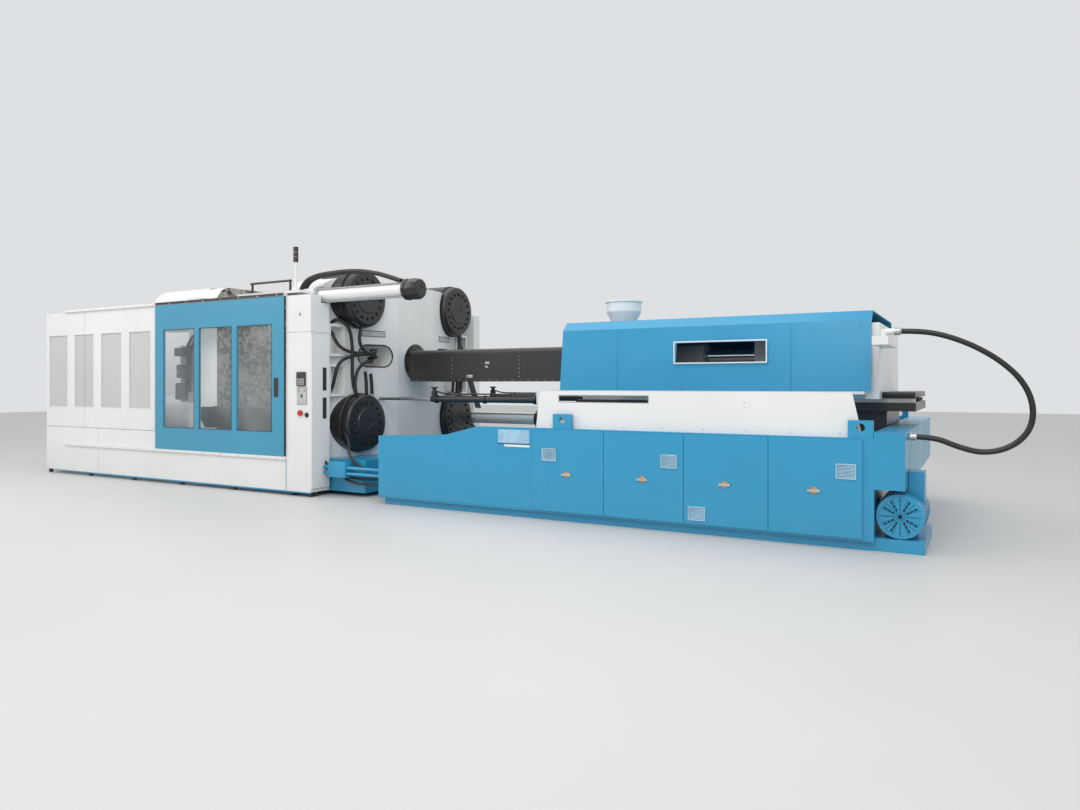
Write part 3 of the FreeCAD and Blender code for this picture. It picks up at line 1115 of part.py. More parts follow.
def round_path(points, label):
    """Straight runs joined by tangent arcs as large as each pair of runs allows."""
    edges = []
    radii = []
    start = points[0]
    for before, corner, after in zip(points, points[1:], points[2:]):
        into = (corner - before).normalize()
        out = (after - corner).normalize()
        turn = into.getAngle(out)
        cut_back = 0.45 * min((corner - before).Length, (after - corner).Length)
        before_arc = corner - into * cut_back
        after_arc = corner + out * cut_back
        radius = cut_back / math.tan(turn / 2)
        toward = (out - into).normalize()
        centre = corner + toward * (radius / math.cos(turn / 2))
        middle = centre - toward * radius
        edges.append(Part.LineSegment(start, before_arc).toShape())
        edges.append(Part.Arc(before_arc, middle, after_arc).toShape())
        radii.append(round(radius))
        start = after_arc
    edges.append(Part.LineSegment(start, points[-1]).toShape())
    print(label, "bend radii", radii)
    return Part.Wire(edges)


def swept(name, points, radius):
    path = round_path(points, name)
    direction = (points[1] - points[0]).normalize()
    ring = Part.Wire([Part.makeCircle(radius, points[0], direction)])
    solid = path.makePipeShell([ring], True, False)
    expected = math.pi * radius ** 2 * path.Length
    print(name, "length", round(path.Length), "volume ratio", round(abs(solid.Volume) / expected, 4))
    return solid


def hose_loop():
    elbows = []
    for name, sign in (("outer", "-"), ("inner", "+")):
        y_value = -SIZE["loop_side"] + (1 if sign == "+" else -1) * SIZE["loop_spacing"] / 2
        points = [V(SIZE["loop_start"] + SIZE["ferrule_length"], y_value, SIZE["loop_top"])]
        points += [V(x, y_value, z) for x, z in LOOP_ROUTE]
        points.append(V(value("end_box_right") + SIZE["ferrule_length"] + SIZE["running_gap"], y_value,
                        SIZE["loop_foot"]))
        hose = DOC.addObject("Part::Feature", f"loop_hose_{name}")
        hose.Shape = swept(f"loop_hose_{name}", points, SIZE["loop_radius"])
        keep(f"loop_hose_{name}", hose)
        y = f"-loop_side {sign} loop_spacing / 2"
        elbows.append(rod(f"ferrule_top_{name}", "X", "loop_radius + 4", ("loop_start - margin",
                          "loop_start + ferrule_length"), y, "loop_top"))
        elbows.append(rod(f"elbow_riser_{name}", "Z", "ferrule_radius - 2", ("arm_high", "loop_top + loop_radius"),
                          "loop_start - loop_radius", y))
    outer, inner = [fuse(f"elbow_{i}", *elbows[2 * i:2 * i + 2]) for i in range(2)]
    keep("hose_elbows", group("hose_elbows", [outer, inner]))


# ---------------------------------------------------------------- build, check and write
def check():
    """Stop on any failed object, and on any sub-part without a valid solid."""
    DOC.recompute()
    failed = [item.Name for item in DOC.Objects if {"Invalid", "Error"} & set(item.State)]
    for item in PARTS:
        if item.Shape.isNull() or not item.Shape.isValid() or not item.Shape.Solids:
            failed.append(item.Label)
    if failed:
        raise RuntimeError(f"these objects failed: {failed}")
    if len(PARTS) > 60 or len({item.Label for item in PARTS}) != len(PARTS):
        raise RuntimeError(f"{len(PARTS)} sub-parts, or two with one label")


def write():
    os.makedirs("parts", exist_ok=True)
    for item in PARTS:
        item.Shape.exportStep(f"parts/{item.Label}.step")
    print(len(PARTS), "sub-parts written")


def build():
    for make in (fill_sheet, clamp_bed, machined_ways, levelling_feet, stationary_platen, cylinder_covers, tie_bars,
                 moving_platen, ejector, lock_nuts, traverse_cylinders, guards, door_rails, sliding_doors,
                 top_fittings, parts_chute, columns, operator_controls, injection_base, base_doors, pump_set,
                 side_screens, slideway, carriage, barrel, plasticising_screw, injection_rams, shroud,
                 unit_cover, hopper, carriage_cylinders, hose_loop):
        make()
    check()
    write()


build()
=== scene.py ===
"""Finish and fittings of a large two-platen injection moulding machine, laid out as an add-on.

Metres. +X runs from the clamp to the injection end, +Y away from the operator, +Z up.
"""

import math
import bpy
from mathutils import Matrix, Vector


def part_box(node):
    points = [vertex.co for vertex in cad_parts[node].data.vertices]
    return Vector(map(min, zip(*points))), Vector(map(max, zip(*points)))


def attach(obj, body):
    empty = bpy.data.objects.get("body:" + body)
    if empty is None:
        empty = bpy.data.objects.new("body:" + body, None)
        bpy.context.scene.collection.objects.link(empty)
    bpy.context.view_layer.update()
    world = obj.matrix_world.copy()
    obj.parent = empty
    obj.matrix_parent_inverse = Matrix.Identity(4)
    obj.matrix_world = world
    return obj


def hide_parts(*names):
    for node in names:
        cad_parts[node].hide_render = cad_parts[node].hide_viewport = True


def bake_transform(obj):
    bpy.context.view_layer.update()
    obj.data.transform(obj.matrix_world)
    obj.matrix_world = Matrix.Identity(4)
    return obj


bl_info = {
    "name": "Injection Moulding Machine Finish",
    "version": (1, 0, 0),
    "blender": (4, 5, 0),
    "location": "View3D > Sidebar > Machine",
    "description": "Paints the machine's frame and fits its panels, hoses, bolts and controls",
    "category": "Object",
}

import bmesh
import bpy
from bpy.props import FloatProperty, FloatVectorProperty, IntProperty, PointerProperty
from bpy.types import Operator, Panel, PropertyGroup
from mathutils import Matrix, Vector

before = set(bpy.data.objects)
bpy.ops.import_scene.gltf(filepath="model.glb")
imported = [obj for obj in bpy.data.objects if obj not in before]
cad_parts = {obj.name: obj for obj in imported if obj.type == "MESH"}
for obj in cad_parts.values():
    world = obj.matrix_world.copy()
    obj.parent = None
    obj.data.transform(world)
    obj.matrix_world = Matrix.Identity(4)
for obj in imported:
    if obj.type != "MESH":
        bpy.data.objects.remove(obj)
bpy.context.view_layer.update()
FRAME_BODY = "machine_frame"


# ---------------------------------------------------------------- settings
def colour(name, default, description):
    return FloatVectorProperty(name=name, description=description, default=default, size=4, min=0, max=1,
                               subtype="COLOR")


def length(name, default, description):
    return FloatProperty(name=name, description=description, default=default, min=0, unit="LENGTH")


class MachinePaints(PropertyGroup):
    white: colour("White", (0.80, 0.80, 0.785, 1), "Paint of the guards, platens and screens")
    blue: colour("Blue", (0.022, 0.300, 0.520, 1), "Paint of the base and the unit cover")
    door_blue: colour("Door blue", (0.046, 0.300, 0.460, 1), "Paint of the sliding doors")
    vent_blue: colour("Vent blue", (0.34, 0.55, 0.70, 1), "Moulded vent grilles")
    charcoal: colour("Charcoal", (0.028, 0.027, 0.026, 1), "Paint of the barrel shroud")
    black: colour("Black", (0.013, 0.013, 0.013, 1), "Paint of the cylinder covers")


class FittingSizes(PropertyGroup):
    seam: length("Seam", 0.012, "Width of a panel joint")
    proud: length("Cover strip", 0.003, "How far a strip or gasket stands off its panel")
    gasket: length("Gasket", 0.018, "Width of a window gasket")
    cap_round: length("Cap round", 0.055, "Edge radius of the clamp cylinder covers")
    bolt: length("Bolt", 0.022, "Radius of a cover bolt's head")
    vent: length("Vent", 0.188, "Width of a vent grille")
    slat_count: IntProperty(name="Slats", description="Slats in each vent grille", default=9, min=2)
    clamp_hose: length("Clamp hose", 0.025, "Radius of the hoses on the fixed platen")
    loop_hose: length("Loop hose", 0.050, "Diameter of each hose in the loop")


class StudioSettings(PropertyGroup):
    eye: FloatVectorProperty(name="Eye", description="Camera place", default=(7.633, -10.15, 1.6), size=3,
                             subtype="TRANSLATION", unit="LENGTH")
    turn: FloatProperty(name="Turn", description="Camera's turn to the left", default=math.radians(29.35),
                        subtype="ANGLE")
    lens: FloatProperty(name="Lens", description="Focal length", default=26.07, unit="CAMERA")
    rise: FloatProperty(name="Rise", description="Vertical shift of the view", default=-0.0194)
    key: FloatProperty(name="Key light", description="Power of the key light", default=480, unit="POWER")


# ---------------------------------------------------------------- node materials
def new_material(name):
    material = bpy.data.materials.new(name)
    material.use_nodes = True
    tree = material.node_tree
    tree.nodes.clear()
    output = tree.nodes.new("ShaderNodeOutputMaterial")
    shader = tree.nodes.new("ShaderNodeBsdfPrincipled")
    tree.links.new(shader.outputs["BSDF"], output.inputs["Surface"])
    place = tree.nodes.new("ShaderNodeTexCoord").outputs["Object"]
    return material, tree, shader, place


def noise(tree, place, scale, detail=3.0, stretch=(1, 1, 1)):
    """Noise on object coordinates; scale counts features in each metre."""
    mapping = tree.nodes.new("ShaderNodeMapping")
    mapping.inputs["Scale"].default_value = stretch
    texture = tree.nodes.new("ShaderNodeTexNoise")
    texture.inputs["Scale"].default_value = scale
    texture.inputs["Detail"].default_value = detail
    tree.links.new(place, mapping.inputs["Vector"])
    tree.links.new(mapping.outputs["Vector"], texture.inputs["Vector"])
    return texture.outputs["Fac"]


def ranged(tree, value, low, high, start=0.0, end=1.0):
    """Map a value from [start, end] to [low, high]."""
    node = tree.nodes.new("ShaderNodeMapRange")
    for socket, number in (("From Min", start), ("From Max", end), ("To Min", low), ("To Max", high)):
        node.inputs[socket].default_value = number
    tree.links.new(value, node.inputs["Value"])
    return node.outputs["Result"]


def mixed(tree, factor, first, second, mode="MIX"):
    """Mix two colours; each is a colour or an output."""
    node = tree.nodes.new("ShaderNodeMix")
    node.data_type = "RGBA"
    node.blend_type = mode
    sockets = {s.identifier: s for s in node.inputs}
    for name, value in (("Factor_Float", factor), ("A_Color", first), ("B_Color", second)):
        if hasattr(value, "is_output"):
            tree.links.new(value, sockets[name])
        else:
            sockets[name].default_value = value
    return [s for s in node.outputs if s.identifier == "Result_Color"][0]


def scaled(rgba, factor):
    return tuple(min(1.0, c * factor) for c in rgba[:3]) + (1,)


def bump(tree, shader, height, strength, distance):
    node = tree.nodes.new("ShaderNodeBump")
    node.inputs["Strength"].default_value = strength
    node.inputs["Distance"].default_value = distance
    tree.links.new(height, node.inputs["Height"])
    tree.links.new(node.outputs["Normal"], shader.inputs["Normal"])


def height_above_floor(tree, place):
    split = tree.nodes.new("ShaderNodeSeparateXYZ")
    tree.links.new(place, split.inputs["Vector"])
    return split.outputs["Z"]


def machine_paint(name, rgba, roughness=0.34, peel=0.12, bottom_darkening=0.10):
    """Sprayed enamel: orange peel, slow tone changes, handling marks and a brownish darkening in patches
    towards the floor.
    """
    material, tree, shader, place = new_material(name)
    tone = mixed(tree, ranged(tree, noise(tree, place, 0.8), 0, 1, 0.3, 0.7), scaled(rgba, 0.965),
                 scaled(rgba, 1.03))
    # Mixes a brownish dark tone in, in noisy patches, more strongly the nearer the floor.
    low = ranged(tree, height_above_floor(tree, place), bottom_darkening, 0, 0.05, 0.6)
    bottom_darkening_mask = tree.nodes.new("ShaderNodeMath")
    bottom_darkening_mask.operation = "MULTIPLY"
    tree.links.new(low, bottom_darkening_mask.inputs[0])
    tree.links.new(noise(tree, place, 5, 5), bottom_darkening_mask.inputs[1])
    tree.links.new(mixed(tree, bottom_darkening_mask.outputs[0], tone, (0.22, 0.20, 0.17, 1)), shader.inputs["Base Color"])
    tree.links.new(ranged(tree, noise(tree, place, 2.2, 5), roughness - 0.07, roughness + 0.09, 0.3, 0.7),
                   shader.inputs["Roughness"])
    shader.inputs["Coat Weight"].default_value = 0.25
    shader.inputs["Coat Roughness"].default_value = 0.2
    bump(tree, shader, noise(tree, place, 160, 2), peel, 0.0006)
    return material


def cast_paint(name, rgba):
    """Thick paint on sand-cast iron."""
    material, tree, shader, place = new_material(name)
    tone = mixed(tree, ranged(tree, noise(tree, place, 1.4, 5), 0, 1, 0.3, 0.7), scaled(rgba, 0.93),
                 scaled(rgba, 1.03))
    tree.links.new(tone, shader.inputs["Base Color"])
    tree.links.new(ranged(tree, noise(tree, place, 6), 0.38, 0.55, 0.3, 0.7), shader.inputs["Roughness"])
    bump(tree, shader, noise(tree, place, 45, 6), 0.3, 0.002)
    return material


def machined_face_paint(name, rgba, face_x, side):
    """A painted casting whose mould face, at one X, is bare milled steel with oil stains."""
    material, tree, shader, place = new_material(name)
    split = tree.nodes.new("ShaderNodeSeparateXYZ")
    tree.links.new(place, split.inputs["Vector"])
    start, end = (face_x - 0.004, face_x - 0.002) if side > 0 else (face_x + 0.004, face_x + 0.002)
    bare = ranged(tree, split.outputs["X"], 0, 1, start, end)
    spots = mixed(tree, ranged(tree, noise(tree, place, 14, 9), 0, 1, 0.46, 0.57), (0.045, 0.040, 0.034, 1),
                  (0.42, 0.39, 0.33, 1))
    stains = mixed(tree, ranged(tree, noise(tree, place, 2.6, 6), 0, 1, 0.50, 0.68), spots,
                   (0.52, 0.49, 0.44, 1))
    paint = mixed(tree, ranged(tree, noise(tree, place, 1.4, 5), 0, 1, 0.3, 0.7), scaled(rgba, 0.93),
                  scaled(rgba, 1.03))
    tree.links.new(mixed(tree, bare, paint, stains), shader.inputs["Base Color"])
    tree.links.new(ranged(tree, bare, 0, 0.35), shader.inputs["Metallic"])
    tree.links.new(ranged(tree, noise(tree, place, 9, 5), 0.34, 0.56, 0.3, 0.7), shader.inputs["Roughness"])
    bump(tree, shader, noise(tree, place, 45, 6), 0.25, 0.0015)
    return material


def bright_metal(name, rgba, roughness, stretch, grain=0.15):
    """Ground, turned or plated metal; the grain runs across the axis with the small stretch."""
    material, tree, shader, place = new_material(name)
    grain_value = noise(tree, place, 60, 4, stretch)
    tone = mixed(tree, ranged(tree, noise(tree, place, 3, 5), 0, 1, 0.3, 0.7), scaled(rgba, 0.82),
                 scaled(rgba, 1.05))
    tree.links.new(tone, shader.inputs["Base Color"])
    shader.inputs["Metallic"].default_value = 1.0
    tree.links.new(ranged(tree, grain_value, roughness * 0.7, roughness * 1.4, 0.25, 0.75),
                   shader.inputs["Roughness"])
    bump(tree, shader, grain_value, grain, 0.0005)
    return material


def moulded(name, rgba, roughness=0.5, texture=0.2, scale=220):
    """Moulded plastic or rubber with a fine surface texture."""
    material, tree, shader, place = new_material(name)
    tone = mixed(tree, ranged(tree, noise(tree, place, 11, 4), 0, 1, 0.3, 0.7), scaled(rgba, 0.85),
                 scaled(rgba, 1.12))
    tree.links.new(tone, shader.inputs["Base Color"])
    tree.links.new(ranged(tree, noise(tree, place, 25, 4), roughness - 0.08, roughness + 0.1, 0.3, 0.7),
                   shader.inputs["Roughness"])
    bump(tree, shader, noise(tree, place, scale, 2), texture, 0.0006)
    return material


def window_sheet(name, rgba, clearness):
    """Polycarbonate sheet with handling haze."""
    material, tree, shader, place = new_material(name)
    tree.links.new(mixed(tree, ranged(tree, noise(tree, place, 1.5, 4), 0, 1, 0.3, 0.7), scaled(rgba, 0.97),
                         rgba),
                   shader.inputs["Base Color"])
    tree.links.new(ranged(tree, noise(tree, place, 3, 5), 0.06, 0.2, 0.3, 0.7), shader.inputs["Roughness"])
    haze = ranged(tree, noise(tree, place, 0.9, 3), 1 - clearness - 0.04, 1 - clearness + 0.06, 0.3, 0.7)
    tree.links.new(haze, shader.inputs["Alpha"])
    material.surface_render_method = "BLENDED"
    return material


FINISHES = {}


def make_finishes():
    paints = bpy.context.scene.machine_paints
    FINISHES.update({
        "white": machine_paint("white_enamel", tuple(paints.white), 0.36),
        "blue": machine_paint("machine_blue_enamel", tuple(paints.blue), 0.32),
        "door_blue": machine_paint("door_blue_enamel", tuple(paints.door_blue), 0.32),
        # Dark joint paint, also used as the painted shade round the side screens' slot.
        "dark_joint_and_shade_white": machine_paint("white_joint_and_painted_shade", scaled(paints.white, 0.42), 0.6),
        # Dark joint paint, also used as the painted shadow strip under the deck pocket.
        "dark_joint_and_shade_blue": machine_paint("blue_joint_and_painted_shade", scaled(paints.blue, 0.42), 0.6),
        "charcoal": machine_paint("charcoal_enamel", tuple(paints.charcoal), 0.42, 0.2, 0.02),
        "black": machine_paint("black_enamel", tuple(paints.black), 0.36, 0.25, 0.02),
        "grey": machine_paint("grey_enamel", (0.36, 0.38, 0.39, 1), 0.42),
        "cast_white": cast_paint("cast_white", tuple(paints.white)),
        "fixed_platen": machined_face_paint("fixed_platen_casting", tuple(paints.white),
                                            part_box("stationary_platen")[0].x, -1),
        "moving_platen": machined_face_paint("moving_platen_casting", tuple(paints.white),
                                             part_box("moving_platen")[1].x, 1),
        "ground": bright_metal("ground_steel", (0.56, 0.56, 0.55, 1), 0.28, (0.1, 2, 2)),
        "chrome": bright_metal("hard_chrome", (0.72, 0.72, 0.73, 1), 0.14, (2, 0.3, 0.3), 0.05),
        "zinc": bright_metal("zinc_plate", (0.66, 0.66, 0.62, 1), 0.34, (1, 1, 1), 0.1),
        "heater": bright_metal("heat_tinted_sheet", (0.30, 0.28, 0.25, 1), 0.4, (1, 1, 1)),
        "bronze": bright_metal("slide_bronze", (0.50, 0.33, 0.13, 1), 0.4, (0.2, 1, 1)),
        "rubber": moulded("hose_rubber", (0.014, 0.014, 0.014, 1), 0.36, 0.25, 300),
        "gasket": moulded("gasket_rubber", (0.03, 0.03, 0.03, 1), 0.6, 0.3),
        "keypad": moulded("keypad_plastic", (0.035, 0.036, 0.038, 1), 0.45),
        "plate": moulded("panel_film", (0.50, 0.50, 0.48, 1), 0.42, 0.1),
        "vent": moulded("vent_plastic", tuple(paints.vent_blue), 0.5),
        "stop": moulded("stop_red_plastic", (0.60, 0.02, 0.015, 1), 0.3, 0.05),
        "button": moulded("button_green_plastic", (0.02, 0.30, 0.08, 1), 0.3, 0.05),
        "amber": moulded("latch_amber_plastic", (0.62, 0.24, 0.05, 1), 0.42, 0.1),
        "lamp": moulded("lamp_smoked_plastic", (0.05, 0.05, 0.05, 1), 0.2, 0.05),
        "door_window": window_sheet("door_window_sheet", (0.88, 0.94, 0.95, 1), 0.93),
        "guard_window": window_sheet("guard_window_sheet", (0.70, 0.685, 0.665, 1), 0.30),
    })


NODE_FINISH = {
    "white": ("clamp_guards door_columns column_door top_cover tie_bar_hoods traverse_tubes side_screens "
              "hopper hose_elbows carriage_frame door_rails"),
    "blue": ("injection_base base_door_1 base_door_2 base_door_3 base_door_4 unit_cover clamp_bed "
             "pump_motor"),
    "door_blue": "front_door rear_door",
    "charcoal": "barrel_shroud",
    "black": "cylinder_covers handrail_and_lamps levelling_feet slideway_beam carriage_cylinders parts_chute",
    "grey": "feed_housing crosshead injection_cylinders ejector_cylinder pump_and_oil_tank",
    "fixed_platen": "stationary_platen",
    "moving_platen": "moving_platen",
    "ground": "ways_and_carriage_rods lock_nuts_near lock_nuts_far ejector_plate plasticising_screw",
    "chrome": "tie_bars traverse_rods injection_rods",
    "bronze": "platen_shoes",
    "heater": "heater_bands barrel",
    "rubber": "loop_hose_outer loop_hose_inner",
    "keypad": "operator_panel mode_selector motor_fan",
    "stop": "emergency_stop",
    "button": "cycle_button",
    "zinc": "door_latch_1 door_latch_2 door_latch_3 door_latch_4",
    "guard_window": "guard_windows",
    "door_window": "front_door_windows rear_door_windows",
}


# ---------------------------------------------------------------- mesh building
def piece(name, mesh, finish, body, smooth=35):
    """Link a finished mesh as a piece that rides on a body."""
    obj = bpy.data.objects.new(name, mesh)
    bpy.context.scene.collection.objects.link(obj)
    mesh.materials.clear()
    mesh.materials.append(FINISHES[finish])
    mesh.shade_smooth()
    mesh.set_sharp_from_angle(angle=math.radians(smooth))
    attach(obj, body)
    return obj


def from_bm(name, bm, finish, body, smooth=35):
    bmesh.ops.recalc_face_normals(bm, faces=bm.faces)
    mesh = bpy.data.meshes.new(name)
    bm.to_mesh(mesh)
    bm.free()
    return piece(name, mesh, finish, body, smooth)


def block(bm, low, high, bevel=0.004, segments=2):
    """A bevelled block between two corners."""
    low = Vector(low)
    high = Vector(high)
    size = high - low
    matrix = Matrix.Translation((low + high) / 2) @ Matrix.Diagonal((*size, 1))
    made = bmesh.ops.create_cube(bm, size=1, matrix=matrix)
    edges = {edge for vert in made["verts"] for edge in vert.link_edges}
    offset = min(bevel, 0.45 * min(size))
    bmesh.ops.bevel(bm, geom=list(edges), offset=offset, segments=segments, affect="EDGES", profile=0.5)


AXES = {"X": Vector((1, 0, 0)), "Y": Vector((0, 1, 0)), "Z": Vector((0, 0, 1))}


def facing(axis):
    """A rotation that takes +Z to an axis, signed such as '-Y'."""
    direction = AXES[axis[-1]] * (-1 if axis.startswith("-") else 1)
    return direction.to_track_quat("Z", "Y").to_matrix().to_4x4()


def turned(bm, centre, axis, outline, sides=48):
    """A closed turned shape; outline holds (distance along axis, radius), ending at radius 0 or closed."""
    matrix = Matrix.Translation(centre) @ facing(axis)
    rings = []
    for along, radius in outline:
        if radius == 0:
            rings.append([bm.verts.new(matrix @ Vector((0, 0, along)))])
            continue
        rings.append([bm.verts.new(matrix @ Vector((radius * math.cos(2 * math.pi * i / sides),
                                                    radius * math.sin(2 * math.pi * i / sides), along)))
                      for i in range(sides)])
    pairs = list(zip(rings, rings[1:]))
    if outline[0][1] > 0:
        pairs.append((rings[-1], rings[0]))
    for first, second in pairs:
        for i in range(sides):
            corners = [first[i % len(first)], first[(i + 1) % len(first)], second[(i + 1) % len(second)],
                       second[i % len(second)]]
            unique = list(dict.fromkeys(corners))
            if len(unique) > 2:
                bm.faces.new(unique)


def rounded_disc(radius, depth, edge, steps=6):
    """Outline of a solid disc with one rounded edge, from its back to its front centre."""
    points = [(0, 0), (0, radius)]
    for i in range(steps + 1):
        angle = math.pi / 2 * i / steps
        points.append((depth - edge + edge * math.sin(angle), radius - edge + edge * math.cos(angle)))
    points.append((depth, 0))
    return points


def frame_strip(bm, low, high, width, normal, depth, bevel=0.002):
    """Four strips round a rectangle; normal is the axis letter that the rectangle faces along."""
    flat = [a for a in "XYZ" if a != normal]
    i, j = ["XYZ".index(a) for a in flat]
    k = "XYZ".index(normal)
    for fixed, other in ((i, j), (j, i)):
        for end in (0, 1):
            a = [0, 0, 0]
            b = [0, 0, 0]
            a[k], b[k] = depth
            edge = low[fixed] if end == 0 else high[fixed]
            a[fixed], b[fixed] = (edge - width, edge) if end == 0 else (edge, edge + width)
            grow = width if fixed == i else 0
            a[other], b[other] = low[other] - grow, high[other] + grow
            block(bm, a, b, bevel, 1)


def hose_mesh(name, points, radius, resolution=6, smooth_order=3):
    """A round tube along one smooth curve with these control points."""
    curve = bpy.data.curves.new(name, "CURVE")
    curve.dimensions = "3D"
    spline = curve.splines.new("NURBS")
    spline.points.add(len(points) - 1)
    for target, point in zip(spline.points, points):
        target.co = (*point, 1)
    spline.order_u = smooth_order
    spline.use_endpoint_u = True
    spline.resolution_u = resolution
    curve.bevel_depth = radius
    curve.bevel_resolution = 5
    curve.use_fill_caps = True
    holder = bpy.data.objects.new(name, curve)
    bpy.context.scene.collection.objects.link(holder)
    mesh = baked(holder)
    bpy.data.objects.remove(holder)
    bpy.data.curves.remove(curve)
    return mesh


def baked(obj):
    """The evaluated object as a plain mesh."""
    graph = bpy.context.evaluated_depsgraph_get()
    graph.update()
    return bpy.data.meshes.new_from_object(obj.evaluated_get(graph), preserve_all_data_layers=True,
                                           depsgraph=graph)


# ---------------------------------------------------------------- repeating things by geometry nodes
def pattern_tree(name, round_row):
    """A tree that repeats a shape: along a line, or round a circle in the plane across its axis."""
    tree = bpy.data.node_groups.new(name, "GeometryNodeTree")
    sockets = [("Shape", "NodeSocketObject"), ("Count", "NodeSocketInt"), ("Start", "NodeSocketVector"),
               ("Step", "NodeSocketVector"), ("Radius", "NodeSocketFloat"), ("Turn", "NodeSocketVector"),
               ("Finish", "NodeSocketMaterial")]
    tree.interface.new_socket("Geometry", in_out="INPUT", socket_type="NodeSocketGeometry")
    for label, kind in sockets:
        tree.interface.new_socket(label, in_out="INPUT", socket_type=kind)
    tree.interface.new_socket("Geometry", in_out="OUTPUT", socket_type="NodeSocketGeometry")
    nodes = tree.nodes
    given = nodes.new("NodeGroupInput").outputs
    shape = nodes.new("GeometryNodeObjectInfo")
    tree.links.new(given["Shape"], shape.inputs["Object"])
    if round_row:
        ring = nodes.new("GeometryNodeMeshCircle")
        tree.links.new(given["Count"], ring.inputs["Vertices"])
        tree.links.new(given["Radius"], ring.inputs["Radius"])
        moved = nodes.new("GeometryNodeTransform")
        tree.links.new(ring.outputs["Mesh"], moved.inputs["Geometry"])
        tree.links.new(given["Start"], moved.inputs["Translation"])
        tree.links.new(given["Turn"], moved.inputs["Rotation"])
        row = moved.outputs["Geometry"]
    else:
        line = nodes.new("GeometryNodeMeshLine")
        tree.links.new(given["Count"], line.inputs["Count"])
        tree.links.new(given["Start"], line.inputs["Start Location"])
        tree.links.new(given["Step"], line.inputs["Offset"])
        row = line.outputs["Mesh"]
    instances = nodes.new("GeometryNodeInstanceOnPoints")
    tree.links.new(row, instances.inputs["Points"])
    tree.links.new(shape.outputs["Geometry"], instances.inputs["Instance"])
    real = nodes.new("GeometryNodeRealizeInstances")
    tree.links.new(instances.outputs["Instances"], real.inputs["Geometry"])
    painted = nodes.new("GeometryNodeSetMaterial")
    tree.links.new(real.outputs["Geometry"], painted.inputs["Geometry"])
    tree.links.new(given["Finish"], painted.inputs["Material"])
    out = nodes.new("NodeGroupOutput")
    tree.links.new(painted.outputs["Geometry"], out.inputs["Geometry"])
    return tree


TREES = {}


def repeated(shape_bm, finish, rows):
    """Repeat one small shape, modelled round the origin, with the inputs each row holds; returns a mesh."""
    shape_mesh = bpy.data.meshes.new("pattern_shape")
    bmesh.ops.recalc_face_normals(shape_bm, faces=shape_bm.faces)
    shape_bm.to_mesh(shape_mesh)
    shape_bm.free()
    shape = bpy.data.objects.new("pattern_shape", shape_mesh)
    bpy.context.scene.collection.objects.link(shape)
    joined = bmesh.new()
    for row in rows:
        kind = "circle" if "Radius" in row else "line"
        if kind not in TREES:
            TREES[kind] = pattern_tree(f"repeat_in_a_{kind}", kind == "circle")
        holder = bpy.data.objects.new("pattern_row", bpy.data.meshes.new("pattern_row"))
        bpy.context.scene.collection.objects.link(holder)
        modifier = holder.modifiers.new("repeat", "NODES")
        modifier.node_group = TREES[kind]
        keys = {item.name: item.identifier for item in TREES[kind].interface.items_tree
                if item.in_out == "INPUT"}
        for label, value in {"Shape": shape, "Finish": FINISHES[finish], **row}.items():
            modifier[keys[label]] = value
        mesh = baked(holder)
        joined.from_mesh(mesh)
        bpy.data.meshes.remove(mesh)
        bpy.data.objects.remove(holder)
    bpy.data.objects.remove(shape)
    result = bpy.data.meshes.new("pattern")
    joined.to_mesh(result)
    joined.free()
    return result


def hex_bolt(radius, depth, axis):
    """A hexagon head with a washer, standing out along an axis from the origin."""
    bm = bmesh.new()
    turned(bm, (0, 0, 0), axis,
           [(0, 0), (0, radius * 1.25), (depth * 0.25, radius * 1.25), (depth * 0.25, 0)], 16)
    turned(bm, (0, 0, 0), axis, [(depth * 0.2, 0), (depth * 0.2, radius), (depth * 0.9, radius),
                                 (depth, radius * 0.86), (depth, 0)], 6)
    return bm


# ---------------------------------------------------------------- where the fittings go
NEAR_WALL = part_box("clamp_guards")[0].y
COLUMN_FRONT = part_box("door_columns")[0].y
BASE_DOOR_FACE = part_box("base_door_1")[0].y
COVER_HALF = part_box("unit_cover")[1].y
AXIS_HEIGHT = (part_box("tie_bars")[0].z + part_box("tie_bars")[1].z) / 2
BAR_SIDE, BAR_RISE = 1.175, 0.930
BAR_PLACES = [(y * BAR_SIDE, AXIS_HEIGHT + z * BAR_RISE) for y in (-1, 1) for z in (-1, 1)]
TRAVERSE_PLACES = [(-1.8, 2.88), (1.8, 0.99)]
TRAVERSE_END = 0.860
GUARD_INNER = 2.100
PULLER_SIDE, PULLER_HEIGHT = 0.800, 1.378
MOTOR_X, MOTOR_Z, MOTOR_RADIUS = 6.975, 0.339, 0.215
GUARD_WINDOWS = [(-7.1 + i * 0.785, -6.535 + i * 0.785) for i in range(4)]
DOOR_WINDOWS = [(-3.786 + i * 0.863, -3.056 + i * 0.863) for i in range(3)]
GUARD_WINDOW_Z = (1.199, 2.465)
DOOR_WINDOW_Z = (0.913, 2.461)


def platen_rear(y):
    """X of the fixed platen's sloping rear face at a distance from the machine's axis."""
    away = abs(y)
    if away > 1.40:
        return -0.62 - 0.18 * (away - 1.40) / 0.37
    return -0.62 + 0.22 * (1.40 - max(away, 0.45)) / 0.95


class FittingOperator:
    bl_options = {"REGISTER", "UNDO"}

    def execute(self, context):
        self.build(context.scene.fitting_sizes)
        return {"FINISHED"}


# ---------------------------------------------------------------- finishes of the frame's own nodes
class MACHINE_OT_paint_frame(FittingOperator, Operator):
    """Give every node of the frame its finish"""
    bl_idname = "machine.paint_frame"
    bl_label = "Paint the frame"

    def build(self, sizes):
        make_finishes()
        for finish, names in NODE_FINISH.items():
            for name in names.split():
                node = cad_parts[name]
                node.data.materials.clear()
                node.data.materials.append(FINISHES[finish])


